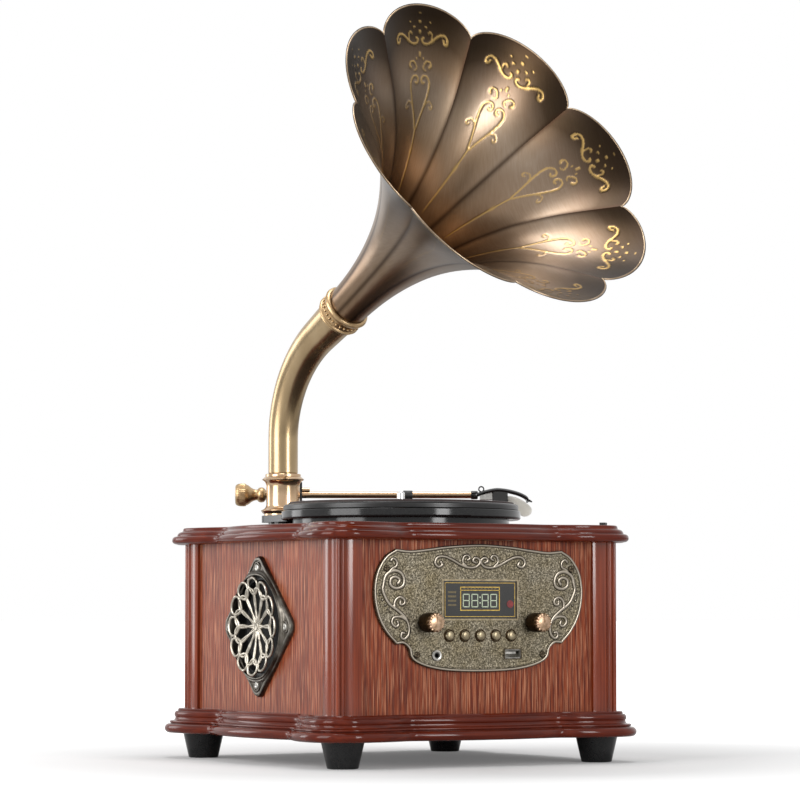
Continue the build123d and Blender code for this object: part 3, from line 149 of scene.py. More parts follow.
def on_board(scale_mm, detail, rough):
    """Noise in the board's plane, whose blobs measure scale_mm across and along the grain."""
    return blobs(tree, board.outputs["Vector"], (1000 / scale_mm[0], 1, 1000 / scale_mm[1]),
                 detail, rough)


sway = 0.026
wander = add(tree, "ShaderNodeMath", {1: sway}, {0: on_board((46, 190), 1.0, 0.4)},
             operation="MULTIPLY")
bent = add(tree, "ShaderNodeMath", links={0: across.outputs[0], 1: wander.outputs[0]},
           operation="ADD")
ring_gap = 2.5
ring = add(tree, "ShaderNodeMath", {1: 1000 / ring_gap}, {0: bent.outputs[0]},
           operation="MULTIPLY")
ring_part = add(tree, "ShaderNodeMath", {1: 1.0}, {0: ring.outputs[0]}, operation="PINGPONG")
ring_colour = ramp(tree, ring_part.outputs[0],
                   [(0.0, "5d2210"), (0.35, "7a3216"), (0.7, "893b1a"), (1.0, "904320")])
cloud = ramp(tree, on_board((24, 110), 2.0, 0.5), [(0.3, "cfbfb6"), (0.7, "ffffff")])
ring_colour = blend_colour(tree, "MULTIPLY", 1.0, ring_colour, cloud)
pores = on_board((0.8, 42), 2.5, 0.6)
# Pale pores: pale dust, and partly a painted highlight.
pore_dust_and_sheen = ramp(tree, pores, [(0.52, "000000"), (0.65, "ffffff")])
pore_dark = ramp(tree, pores, [(0.35, "ffffff"), (0.46, "000000")])
body_colour = blend_colour(tree, "MIX", pore_dust_and_sheen, ring_colour, colour("b87c5c"))
body_colour = blend_colour(tree, "MIX", pore_dark, body_colour, colour("4c1c0d"))
tree.links.new(body_colour, shader.inputs["Base Color"])
raise_surface(tree, shader, pores, 0.3, 0.6)
dress(veneer, "front_panel", "left_panel", "right_panel", "rear_panel")

# Mouldings, posts and boards
# Solid mahogany run through a shaped cutter, with the grain along each length.
# Stained darker than the panels and lacquered to a high gloss.
lacquered, tree, shader = finish("lacquered_mahogany", Roughness=0.1, Specular_IOR_Level=0.22)
along_x = stretched(tree, (90, 5, 2.2))
along_y = stretched(tree, (5, 90, 2.2))
place = add(tree, "ShaderNodeTexCoord")
centred = add(tree, "ShaderNodeMapping",
              {"Location": (-origin_x / 1000, -origin_y / 1000, 0)},
              {"Vector": place.outputs["Object"]})
axes = add(tree, "ShaderNodeSeparateXYZ", links={"Vector": centred.outputs["Vector"]})
size_x = add(tree, "ShaderNodeMath", links={0: axes.outputs["X"]}, operation="ABSOLUTE")
size_y = add(tree, "ShaderNodeMath", links={0: axes.outputs["Y"]}, operation="ABSOLUTE")
on_side = add(tree, "ShaderNodeMath", links={0: size_x.outputs[0], 1: size_y.outputs[0]},
              operation="GREATER_THAN")
grain = add(tree, "ShaderNodeMix", links={0: on_side.outputs[0], 2: along_x, 3: along_y})
grain_colour = ramp(tree, grain.outputs[0],
                    [(0.25, "451306"), (0.45, "511808"), (0.6, "5c1e0b"), (0.8, "6a270f")])
tree.links.new(grain_colour, shader.inputs["Base Color"])
raise_surface(tree, shader, grain.outputs[0], 0.015, 0.2)
dress(lacquered, "base_moulding", "top_board")


def mottled(name, size_mm, stops, detail=4.0, bump=None, **values):
    """A material whose colour drifts between the stops in blobs of size_mm.

    bump is a height in millimetres and a strength.
    """
    material, tree, shader = finish(name, **values)
    drift = stretched(tree, size_mm, detail)
    tree.links.new(ramp(tree, drift, stops), shader.inputs["Base Color"])
    if bump:
        raise_surface(tree, shader, drift, *bump)
    return material


# The posts are lighter than the mouldings and reflect more.
post_wood = mottled("lacquered_mahogany_upright", (2.0, 2.0, 70),
                    [(0.25, "5e200c"), (0.45, "6e2a11"), (0.6, "7c3216"), (0.8, "8b3e1f")],
                    bump=(0.08, 0.4), Roughness=0.12)
dress(post_wood, "post_front_left", "post_front_right", "post_rear_left", "post_rear_right")
# The base board is stained and has no gloss coat.
plain_board = mottled("stained_board", (120, 3, 3), [(0.3, "3a1a10"), (0.7, "5e3020")],
                      Roughness=0.62)
dress(plain_board, "base_board")

# Feet
# Four turned feet, moulded in black ABS with a gloss surface and screwed to the base.
# A faint orange-peel from the mould breaks up the reflections.
gloss_black = mottled("gloss_black_abs", 2.5, [(0.3, "131314"), (0.7, "1d1d1d")], detail=2.0,
                      bump=(0.008, 0.1), Roughness=0.13, Specular_IOR_Level=0.34)
dress(gloss_black, "foot_front_left", "foot_front_right", "foot_rear_left", "foot_rear_right")

# Front plate
# A zinc casting plated in antique bronze: rolled rim, raised scrolls and a stippled ground.
# The plating is dark in the hollows and rubbed bright on what stands proud.
plate_face = 137.5
plate_back = 134.6
rim_width, rim_height = 2.4, 0.75
inner_rim_gap, inner_rim_half, inner_rim_height = 3.9, 0.55, 0.3
scroll_height = 0.95
display_mid = 138.2
display_half_x, display_half_z = 37.0, 16.5
usb_x, usb_z = 32.0, 92.9
jack_x, jack_z = -43.0, 92.1


def smooth_line(points, steps=8):
    """A Catmull-Rom line through points, as an array."""
    p = np.array(points, float)
    p = np.vstack([2 * p[0] - p[1], p, 2 * p[-1] - p[-2]])
    out = []
    for a, b, c, d in zip(p[:-3], p[1:-2], p[2:-1], p[3:]):
        for t in np.linspace(0, 1, steps, endpoint=False):
            out.append(0.5 * (2 * b + (c - a) * t + (2 * a - 5 * b + 4 * c - d) * t ** 2
                              + (3 * b - a - 3 * c + d) * t ** 3))
    return np.vstack(out + [p[-2]])


def straight_gap(a, b, u, v):
    """Distance from the points (u, v) to the straight piece from a to b."""
    d = b - a
    t = np.clip(((u - a[0]) * d[0] + (v - a[1]) * d[1]) / max(d @ d, 1e-9), 0, 1)
    return np.hypot(u - a[0] - t * d[0], v - a[1] - t * d[1])


def line_gap(line, u, v):
    """Distance from the points (u, v) to a line of points."""
    gap = np.full(u.shape, np.inf)
    for a, b in zip(line[:-1], line[1:]):
        gap = np.minimum(gap, straight_gap(a, b, u, v))
    return gap


def rounded(gap, middle, half):
    """Height share of a round-backed line whose middle is that gap from an edge."""
    return np.sqrt(np.clip(1 - ((gap - middle) / half) ** 2, 0, 1))


def relief(u, v, strokes):
    """Height share from 0 to 1 of round-backed strokes; those under full_half are lower."""
    full_half = 0.9
    height = np.zeros_like(u)
    for points, start_half, end_half in strokes:
        line = np.array(points, float)
        halves = np.linspace(start_half, end_half, len(line))
        for a, b, half in zip(line[:-1], line[1:], halves):
            back = rounded(straight_gap(a, b, u, v), 0, half)
            height = np.maximum(height, back * min(1, half / full_half))
    return height


def mirrored(strokes):
    """The strokes and their mirror images about u = 0."""
    return strokes + [([(-p[0], p[1]) for p in points], a, b) for points, a, b in strokes]


def solid(name, vertices, faces, material, body, nodes=(), slot=None, angle=40, outward=True):
    """A mesh piece in millimetres about the cabinet, that rides on a body and replaces nodes."""
    points = (np.array(vertices, float) + (origin_x, origin_y, 0)) / 1000
    mesh = bpy.data.meshes.new(name)
    mesh.from_pydata(points.tolist(), [], [tuple(int(i) for i in f) for f in faces])
    work = bmesh.new()
    work.from_mesh(mesh)
    bmesh.ops.remove_doubles(work, verts=work.verts, dist=2e-6)
    bmesh.ops.dissolve_degenerate(work, edges=work.edges, dist=1e-7)
    if outward:
        bmesh.ops.recalc_face_normals(work, faces=work.faces)
    work.to_mesh(mesh)
    work.free()
    mesh.shade_smooth()
    mesh.set_sharp_from_angle(angle=math.radians(angle))
    mesh.materials.append(material)
    piece = bpy.data.objects.new(name, mesh)
    bpy.context.scene.collection.objects.link(piece)
    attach(piece, body)
    if nodes:
        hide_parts(*nodes)
    return piece


def mark_points(piece, label, values):
    """Stores one value for each vertex, for the shader to read."""
    layer = piece.data.attributes.new(label, "FLOAT", "POINT")
    layer.data.foreach_set("value", values)


def grid_faces(rows, columns, closed=False):
    """Quads over rows of vertices; closed joins the last column to the first."""
    faces = []
    for r in range(0, (rows - 1) * columns, columns):
        for c in range(columns if closed else columns - 1):
            n = (c + 1) % columns
            faces.append((r + c, r + n, r + columns + n, r + columns + c))
    return faces


def border(rows, columns):
    """The outer vertices of a grid, once round."""
    return (list(range(columns))
            + [r * columns + columns - 1 for r in range(1, rows)]
            + [(rows - 1) * columns + c for c in range(columns - 2, -1, -1)]
            + [r * columns for r in range(rows - 2, 0, -1)])


side_lobe = smooth_line([(81.4, 101.3), (91.7, 111.9), (99.5, 126.0), (102.8, 144.0),
                         (100.0, 161.0), (91.7, 173.8), (81.5, 180.2)], 12)
top_line = smooth_line([(81.5, 180.2), (67.5, 179.1), (49.5, 180.9), (30.5, 183.2),
                        (0.0, 184.9), (-30.5, 183.2)], 12)
tab_line = smooth_line([(-30.5, 79.0), (0.0, 78.0), (30.5, 79.0), (50.0, 82.0), (62.5, 86.4),
                        (67.5, 91.0), (69.3, 97.2), (74.5, 101.6), (81.4, 101.3)], 12)
turn_at = int(np.argmax(side_lobe[:, 0]))
lower_edge = np.vstack([tab_line[tab_line[:, 0] >= 0], side_lobe[:turn_at + 1]])
upper_edge = np.vstack([side_lobe[turn_at:], top_line[top_line[:, 0] >= 0]])[::-1]
plate_half = side_lobe[turn_at, 0]
plate_columns, plate_rows = 350, 176
share = np.linspace(-1, 1, plate_columns)
column_x = plate_half * (0.86 * share + 0.14 * np.sin(share * math.pi / 2))
low_z = np.interp(abs(column_x), np.maximum.accumulate(lower_edge[:, 0]), lower_edge[:, 1])
high_z = np.interp(abs(column_x), np.maximum.accumulate(upper_edge[:, 0]), upper_edge[:, 1])
v = np.linspace(0, 1, plate_rows)[:, None]
grid_x = np.broadcast_to(column_x, (plate_rows, plate_columns)).copy()
grid_z = low_z + (high_z - low_z) * v

plate_strokes = mirrored([
    (smooth_line([(-38.8, 169.7), (-37.3, 167.2), (-41.4, 165.7), (-44.4, 169.1),
                  (-41.8, 173.5), (-35.1, 174.2), (-27.6, 171.6), (-20.0, 167.8),
                  (-12.5, 165.3), (-5.0, 165.6), (-0.9, 168.6), (-1.2, 171.9), (-5.0, 173.5),
                  (-7.5, 170.8), (-4.4, 169.2)], 5), 1.35, 1.2),
    (smooth_line([(-14.0, 166.6), (-17.3, 169.7), (-16.3, 174.2), (-12.5, 175.4),
                  (-10.3, 172.9), (-12.8, 171.3)], 5), 1.2, 1.1),
    (smooth_line([(-94.0, 150.8), (-91.5, 158.4), (-84.0, 162.2), (-77.2, 160.3),
                  (-74.2, 154.6), (-75.7, 149.5), (-81.7, 147.6), (-87.0, 150.1),
                  (-87.0, 155.2), (-82.5, 157.1), (-78.4, 154.6), (-80.2, 151.4)], 5), 1.7, 1.5),
    (smooth_line([(-94.0, 150.8), (-94.5, 145.7), (-89.2, 135.6), (-80.2, 129.3),
                  (-72.7, 123.0), (-69.4, 115.4), (-70.4, 109.0), (-74.2, 105.9),
                  (-77.0, 107.5), (-76.4, 110.8), (-73.8, 110.6)], 5), 1.6, 1.3),
    (smooth_line([(-71.5, 121.0), (-77.2, 124.0), (-84.0, 123.6), (-85.9, 119.2),
                  (-82.5, 116.0), (-79.6, 117.6), (-80.6, 120.2)], 5), 1.45, 1.25),
    (smooth_line([(-83.5, 131.0), (-83.0, 137.0), (-78.4, 140.4), (-74.0, 138.1),
                  (-74.4, 134.6), (-77.9, 134.4), (-78.0, 137.0)], 5), 1.45, 1.25),
    (smooth_line([(-87.0, 170.4), (-84.7, 172.3), (-81.3, 169.7), (-81.7, 165.9),
                  (-85.5, 164.0), (-88.0, 161.5)], 5), 1.2, 1.3),
] + [([(x, z), (x + 0.05, z + 0.05)], half, half) for x, z, half in (
    (-97.6, 146.0, 0.8), (-97.4, 142.4, 0.9), (-95.2, 138.0, 1.1), (-92.4, 133.8, 1.1),
    (-89.6, 130.6, 0.9), (-87.0, 128.0, 0.8))])
edge_line = np.vstack([lower_edge, upper_edge[::-1]])
edge_line = np.vstack([edge_line, edge_line[::-1] * (-1, 1)])
edge_gap = line_gap(edge_line, grid_x, grid_z)
rim = rounded(edge_gap, rim_width / 2, rim_width / 2) * rim_height
inner_rim = rounded(edge_gap, inner_rim_gap, inner_rim_half) * inner_rim_height
scroll = relief(grid_x, grid_z, plate_strokes) * scroll_height
draw = np.random.default_rng(7)
ground = draw.normal(0, 0.05, grid_x.shape) * (edge_gap > rim_width) * (scroll < 0.1)
proud = np.maximum(np.maximum(rim, inner_rim), scroll) + ground
plate_points = np.stack([grid_x, -plate_face - np.clip(proud, -0.2, 1.0), grid_z], -1)
plate_points = plate_points.reshape(-1, 3)


def is_open(x, z):
    """Whether the plate is cut away at a point: the display, the USB shell and the socket."""
    in_display = abs(x) < display_half_x - 0.6 and abs(z - display_mid) < display_half_z - 0.6
    in_shell = abs(x - usb_x) < 8.1 and abs(z - usb_z) < 3.7
    return in_display or in_shell or math.hypot(x - jack_x, z - jack_z) < 2.6


faces = [f for f in grid_faces(plate_rows, plate_columns)
         if not is_open(*np.mean(plate_points[list(f)], axis=0)[[0, 2]])]
edge_ring = border(plate_rows, plate_columns)
first = len(plate_points)
plate_points = np.vstack([plate_points,
                          plate_points[edge_ring] * (1, 0, 1) - (0, plate_back, 0)])
for i, here in enumerate(edge_ring):
    after = (i + 1) % len(edge_ring)
    faces.append((here, first + i, first + after, edge_ring[after]))
antique, tree, shader = finish("antique_bronze_plating", Metallic=1.0)
wear = stretched(tree, 16, 3.0)
grit = stretched(tree, 1.3, 2.5, 0.7)
metal = ramp(tree, wear, [(0.3, "f0ead8"), (0.7, "ffffff")])
stipple = ramp(tree, grit, [(0.36, "3d3931"), (0.46, "5f594c"), (0.55, "777062"),
                            (0.66, "a29a89")])
rough_part = blend_colour(tree, "MULTIPLY", 1.0, metal, stipple)
mark = add(tree, "ShaderNodeAttribute", attribute_name="proud", attribute_type="GEOMETRY")
smooth_part = ramp(tree, mark.outputs["Fac"],
                   [(0.0, "25221c"), (0.42, "353027"), (0.7, "6f6758"), (1.0, "a0978a")])
is_smooth = add(tree, "ShaderNodeMapRange", {"From Min": 0.03, "From Max": 0.12},
                {"Value": mark.outputs["Fac"]})
tree.links.new(blend_colour(tree, "MIX", is_smooth.outputs["Result"], rough_part, smooth_part),
               shader.inputs["Base Color"])
smoother = add(tree, "ShaderNodeMapRange", {"To Min": 0.46, "To Max": 0.3},
               {"Value": is_smooth.outputs["Result"]})
tree.links.new(smoother.outputs["Result"], shader.inputs["Roughness"])
held_back = add(tree, "ShaderNodeMath", {0: 1.0}, {1: is_smooth.outputs["Result"]},
                operation="SUBTRACT")
grain_height = add(tree, "ShaderNodeMath", links={0: grit, 1: held_back.outputs[0]},
                   operation="MULTIPLY")
raise_surface(tree, shader, grain_height.outputs[0], 0.3, 0.7)
cast_plate = solid("cast_front_plate", plate_points, faces, antique, "cabinet", ("front_plate",),
                   "antique_bronze", angle=60, outward=False)
spots = np.array([v.co[:] for v in cast_plate.data.vertices]) * 1000
spot_u, spot_v = spots[:, 0] - origin_x, spots[:, 2]
spot_rim = rounded(line_gap(edge_line, spot_u, spot_v), rim_width / 2, rim_width / 2)
mark_points(cast_plate, "proud", np.maximum(relief(spot_u, spot_v, plate_strokes), spot_rim))

# Screws of the plate and the grilles
# Oval-head steel screws with a cross slot, plated like the plate and bright on the grilles.
# Each head is a low dome turned on a lathe, with two crossed cuts.
dark_metal = mottled("blackened_steel", 1.5, [(0.3, "28221b"), (0.7, "5d5344")],
                     Metallic=1.0, Roughness=0.35)
steel = mottled("zinc_plated_steel", 2.5, [(0.3, "8d8b86"), (0.7, "c4c1ba")],
                Metallic=1.0, Roughness=0.28)


def turned(profile, sides, middle, axis, wave=None):
    """Vertices and faces of a turned form; profile is (radius, height) from one end to the other.

    wave(radius, height, angle) gives a new radius for a fluted or beaded form.
    """
    axis = np.array(axis, float) / np.linalg.norm(axis)
    side = np.cross(axis, (0.0, 0.0, 1.0) if abs(axis[2]) < 0.9 else (1.0, 0.0, 0.0))
    side /= np.linalg.norm(side)
    other = np.cross(axis, side)
    angle = np.linspace(0, 2 * math.pi, sides, endpoint=False)
    vertices = []
    for radius, height in profile:
        r = np.full(sides, float(radius)) if wave is None else wave(radius, height, angle)
        ring = (np.array(middle, float) + axis * height
                + (r * np.cos(angle))[:, None] * side + (r * np.sin(angle))[:, None] * other)
        vertices.append(ring)
    return np.vstack(vertices), grid_faces(len(profile), sides, closed=True)


def joined(parts):
    """One list of vertices and faces from several."""
    vertices, faces, first = [], [], 0
    for points, quads in parts:
        vertices.append(np.array(points, float))
        faces += [tuple(first + i for i in q) for q in quads]
        first += len(points)
    return np.vstack(vertices), faces


def screw_heads(places, axis, radius):
    """Domed heads with a cross slot sunk by a dip in the dome."""
    cut_half, cut_depth = 0.45, 0.4
    parts = []
    for place in places:
        dome = [(0, 0.75), (0.28 * radius, 0.8), (0.5 * radius, 0.95), (0.75 * radius, 0.85),
                (0.92 * radius, 0.55), (radius, 0.15), (radius, -0.3), (0, -0.3)]
        points, quads = turned(dome, 32, place, axis)
        n = np.array(axis, float)
        flat = points - np.array(place, float)
        height = flat @ n
        flat = flat - height[:, None] * n
        u, w = flat[:, 2], flat[:, 0] + flat[:, 1]
        cross = (np.minimum(abs(u), abs(w)) < cut_half) & (np.hypot(u, w) < 0.7 * radius)
        points = points - (cross & (height > 0))[:, None] * cut_depth * n
        parts.append((points, quads))
    return joined(parts)


plate_screws_at = [(x, -plate_face - 0.6, z)
                   for x, z in ((91.0, 164.2), (-91.0, 164.2), (61.6, 92.5), (-61.6, 92.5))]
solid("plate_screw_heads", *screw_heads(plate_screws_at, (0, -1, 0), 2.9), dark_metal, "cabinet",
      ("plate_screws",), "aged_brass", angle=50)

# Display
# A smoked acrylic window in the plate, with thin gold printed frames behind it and four plain
# digits of lit segments. The remote receiver is a small red lens at its right.
smoke = mottled("smoked_acrylic", 40, [(0.3, "201f1d"), (0.7, "2a2926")],
                Roughness=0.12, Coat_Weight=0.5, Coat_Roughness=0.03)
dress(smoke, "display_window")
red_lens = mottled("red_acrylic_lens", 3, [(0.3, "5d0f12"), (0.7, "8e1c1e")],
                   Roughness=0.2, Coat_Weight=0.6)
dress(red_lens, "infra_red_lens")
gold_print = mottled("gold_screen_print", 2, [(0.3, "a8842c"), (0.7, "d8b44c")], Roughness=0.45)
lit, tree, shader = finish("lit_segments", Roughness=0.5)
glow = ramp(tree, stretched(tree, 1.2), [(0.3, "9aa68c"), (0.7, "c3ccb4")])
tree.links.new(glow, shader.inputs["Base Color"])
tree.links.new(glow, shader.inputs["Emission Color"])
shader.inputs["Emission Strength"].default_value = 0.12
unlit = mottled("dim_screen_print", 2, [(0.3, "4a4028"), (0.7, "6a5c38")], Roughness=0.5)
print_face = 137.36


def prism_faces(count):
    """Faces of a form between two outlines of count points."""
    ends = [tuple(range(count - 1, -1, -1)), tuple(range(count, 2 * count))]
    return ends + [(i, (i + 1) % count, count + (i + 1) % count, count + i)
                   for i in range(count)]


def bar(x0, z0, x1, z1, back=print_face - 0.1, front=print_face):
    """A flat form in the plate's plane, between two corners."""
    corners = ((x0, z0), (x1, z0), (x1, z1), (x0, z1))
    return [(x, -y, z) for y in (back, front) for x, z in corners], prism_faces(4)


def outline_bars(x0, z0, x1, z1, width, *depths):
    """Four bars round a rectangle."""
    return [bar(x0, z0, x1, z0 + width, *depths), bar(x0, z1 - width, x1, z1, *depths),
            bar(x0, z0 + width, x0 + width, z1 - width, *depths),
            bar(x1 - width, z0 + width, x1, z1 - width, *depths)]


gold_lines = (outline_bars(-34.6, 124.0, 34.6, 152.6, 0.5)
              + outline_bars(-19.5, 129.1, 19.5, 149.2, 0.8) + [bar(-19.5, 145.9, 19.5, 146.5)])
solid("display_gold_lines", *joined(gold_lines), gold_print, "cabinet", slot="polished_brass")
marks = [bar(-16.5 + 3.4 * i, 147.1, -14.5 + 3.4 * i, 148.0) for i in range(10)]
marks += [bar(-31.5, 133.0 + 3.6 * i, -23.5, 134.6 + 3.6 * i) for i in range(4)]
solid("display_dim_marks", *joined(marks), unlit, "cabinet", slot="polished_brass")


# Each digit has three flat bars and four upright ones, all lit.
digit_z, digit_width, digit_half, stroke, gap = 132.0, 6.6, 5.6, 0.8, 0.25
segments = []
for x in (-16.9, -8.5, 1.7, 10.1):
    segments += [bar(x + gap, z, x + digit_width - gap, z + stroke)
                 for z in (digit_z, digit_z + digit_half - stroke / 2,
                           digit_z + 2 * digit_half - stroke)]
    segments += [bar(side, z + gap, side + stroke, z + digit_half - gap)
                 for side in (x, x + digit_width - stroke)
                 for z in (digit_z, digit_z + digit_half)]
segments += [bar(-0.6, 135.0, 0.6, 136.2), bar(-0.6, 139.8, 0.6, 141.0)]
solid("display_digits", *joined(segments), lit, "cabinet", slot="clear_plastic")
pewter = mottled("bronzed_pewter", 3, [(0.3, "776c58"), (0.55, "94886f"), (0.8, "ada188")],
                 detail=3.0, Metallic=1.0, Roughness=0.34)
bezel_x, bezel_z, bezel_width = 37.6, 17.1, 1.4
bezel = outline_bars(-bezel_x, display_mid - bezel_z, bezel_x, display_mid + bezel_z, bezel_width,
                     137.0, 138.0)
solid("display_bezel", *joined(bezel), pewter, "cabinet", slot="antique_bronze")

# Knobs
# Two turned brass knobs, aged dark in the reeds and bright on the cap.
# The cap's edge is a row of cast beads, and a line on it marks the position.
aged = mottled("aged_brass", 3, [(0.3, "a58a66"), (0.55, "b69a74"), (0.8, "c6ab88")],
               detail=3.0, Metallic=1.0, Roughness=0.34)
dark_brass = mottled("browned_brass", 2, [(0.3, "2b1f15"), (0.6, "44321f"), (0.8, "614a31")],
                     detail=3.0, Metallic=1.0, Roughness=0.4)
cap_brass = mottled("worn_pink_brass", 3, [(0.3, "8a7256"), (0.55, "b0937a"), (0.8, "ccb096")],
                    detail=3.0, Metallic=1.0, Roughness=0.33)


def copies_tree(name, build):
    """A Geometry Nodes tree whose form is instanced round a ring, made real and given a material.

    build(tree, start) returns the form's geometry socket.
    """
    tree = bpy.data.node_groups.new(name, "GeometryNodeTree")
    face = tree.interface
    face.new_socket("Geometry", in_out="OUTPUT", socket_type="NodeSocketGeometry")
    for label, kind in (("Copies", "Int"), ("Ring radius", "Float"), ("Length", "Float"),
                        ("Width", "Float"), ("Wire", "Float"), ("Point", "Float"),
                        ("Material", "Material")):
        face.new_socket(label, in_out="INPUT", socket_type="NodeSocket" + kind)
    start = add(tree, "NodeGroupInput")
    form = build(tree, start)
    ring = add(tree, "GeometryNodeMeshCircle",
               links={"Vertices": start.outputs["Copies"], "Radius": start.outputs["Ring radius"]})
    index = add(tree, "GeometryNodeInputIndex")
    step = add(tree, "ShaderNodeMath", {0: 2 * math.pi}, {1: start.outputs["Copies"]},
               operation="DIVIDE")
    turn = add(tree, "ShaderNodeMath", links={0: index.outputs[0], 1: step.outputs[0]},
               operation="MULTIPLY")
    spin = add(tree, "ShaderNodeCombineXYZ", links={"Z": turn.outputs[0]})
    placed = add(tree, "GeometryNodeInstanceOnPoints",
                 links={"Points": ring.outputs["Mesh"], "Instance": form,
                        "Rotation": spin.outputs["Vector"]})
    real = add(tree, "GeometryNodeRealizeInstances",
               links={"Geometry": placed.outputs["Instances"]})
    coated = add(tree, "GeometryNodeSetMaterial",
                 links={"Geometry": real.outputs["Geometry"],
                        "Material": start.outputs["Material"]})
    add(tree, "NodeGroupOutput", links={"Geometry": coated.outputs["Geometry"]})
    return tree


def bead_form(tree, start):
    """A ball whose radius is Length, for beads."""
    ball = add(tree, "GeometryNodeMeshUVSphere", {"Segments": 12, "Rings": 8},
               {"Radius": start.outputs["Length"]})
    return ball.outputs["Mesh"]


def loop_form(tree, start):
    """A loop of round wire that reaches Length and Width from its own middle.

    Point draws it in towards the ring's middle.
    """
    circle = add(tree, "GeometryNodeCurvePrimitiveCircle", {"Resolution": 44, "Radius": 1.0},
                 mode="RADIUS")
    spot = add(tree, "GeometryNodeInputPosition")
    axes = add(tree, "ShaderNodeSeparateXYZ", links={"Vector": spot.outputs["Position"]})
    share = add(tree, "ShaderNodeMapRange", {"From Min": -1.0, "From Max": 1.0, "To Min": 0.002},
                {"Value": axes.outputs["X"]})
    narrow = add(tree, "ShaderNodeMath", links={0: share.outputs["Result"],
                                                1: start.outputs["Point"]}, operation="POWER")
    drawn = add(tree, "ShaderNodeMath", links={0: axes.outputs["Y"], 1: narrow.outputs[0]},
                operation="MULTIPLY")
    new_spot = add(tree, "ShaderNodeCombineXYZ", links={"X": axes.outputs["X"],
                                                        "Y": drawn.outputs[0]})
    size = add(tree, "ShaderNodeCombineXYZ", {"Z": 1.0},
               {"X": start.outputs["Length"], "Y": start.outputs["Width"]})
    scaled = add(tree, "ShaderNodeVectorMath", links={0: new_spot.outputs["Vector"],
                                                      1: size.outputs["Vector"]},
                 operation="MULTIPLY")
    shaped = add(tree, "GeometryNodeSetPosition", links={"Geometry": circle.outputs["Curve"],
                                                         "Position": scaled.outputs["Vector"]})
    section = add(tree, "GeometryNodeCurvePrimitiveCircle", {"Resolution": 8},
                  {"Radius": start.outputs["Wire"]}, mode="RADIUS")
    wire = add(tree, "GeometryNodeCurveToMesh", links={"Curve": shaped.outputs["Geometry"],
                                                       "Profile Curve": section.outputs["Curve"]})
    return wire.outputs["Mesh"]


ring_of_beads = copies_tree("ring_of_beads", bead_form)
ring_of_loops = copies_tree("ring_of_loops", loop_form)


def grown(tree, copies, ring_radius, length, width=1.0, wire=1.0, point=0.0, material=None):
    """Vertices and faces of a tree's result, in millimetres in the ring's own plane."""
    base = bpy.data.objects.new("grown", bpy.data.meshes.new("grown"))
    bpy.context.scene.collection.objects.link(base)
    modifier = base.modifiers.new("grow", "NODES")
    modifier.node_group = tree
    wanted = {"Copies": copies, "Ring radius": ring_radius, "Length": length, "Width": width,
              "Wire": wire, "Point": point, "Material": material}
    for item in tree.interface.items_tree:
        if item.in_out == "INPUT" and item.name in wanted:
            modifier[item.identifier] = wanted[item.name]
    base.update_tag()
    bpy.context.view_layer.update()
    result = bpy.data.meshes.new_from_object(
        base.evaluated_get(bpy.context.evaluated_depsgraph_get()))
    base.modifiers.remove(modifier)
    points = np.array([v.co[:] for v in result.vertices])
    quads = [tuple(p.vertices) for p in result.polygons]
    bpy.data.meshes.remove(result)
    bpy.data.objects.remove(base)
    return points, quads


def laid(points, middle, axis, roll=0.0):
    """Turns points from the XY plane to a plane with that normal and middle."""
    axis = np.array(axis, float) / np.linalg.norm(axis)
    side = np.cross((0.0, 0.0, 1.0), axis) if abs(axis[2]) < 0.9 else np.array((1.0, 0.0, 0.0))
    side /= np.linalg.norm(side)
    up = np.cross(axis, side)
    c, s = math.cos(roll), math.sin(roll)
    u = points[:, 0] * c - points[:, 1] * s
    w = points[:, 0] * s + points[:, 1] * c
    return np.array(middle, float) + u[:, None] * side + w[:, None] * up + points[:, 2:3] * axis


knob_reeds, knob_notches = 44, 8
knob_reach, knob_level = 52.5, 119.3
knob_body = [(0, -10), (3.0, -10), (3.0, 0.0), (7.2, 0.0), (8.0, 0.6), (8.1, 1.3), (8.1, 12.6),
             (7.6, 13.4), (6.9, 13.8), (0, 13.8)]
knob_cap = [(0, 13.6), (7.6, 13.6), (8.05, 14.1), (8.1, 15.4), (7.8, 16.4), (7.0, 17.0),
            (6.2, 17.1), (5.8, 16.7), (5.4, 16.7), (3.6, 17.15), (1.8, 17.4), (0, 17.45)]


def reeded(radius, height, angle):
    """The knob's side, with fine reeds between its two plain ends."""
    if 1.2 < height < 13.0:
        return radius - 0.3 * (0.5 + 0.5 * np.cos(knob_reeds * angle))
    return np.full(angle.shape, float(radius))


def notched(radius, height, angle):
    """The cap's edge, cut into beads."""
    if radius < 6.9:
        return np.full(angle.shape, float(radius))
    return radius - 1.2 * np.clip(1.7 * np.abs(np.cos(knob_notches * angle)) - 0.8, 0, 1) ** 1.3


for name, x in (("volume_knob", -knob_reach), ("tuning_knob", knob_reach)):
    middle = (x, -plate_face - 0.5, knob_level)
    solid(name + "_body", *turned(knob_body, 220, middle, (0, -1, 0), reeded), dark_brass, name,
          (name,), "aged_brass", angle=35)
    pointer = bar(x - 0.45, 119.6, x + 0.45, 124.4, 154.8, 155.85)
    points, quads = joined([turned(knob_cap, 240, middle, (0, -1, 0), notched), pointer])
    solid(name + "_cap", points, quads, cap_brass, name, slot="aged_brass", angle=35)

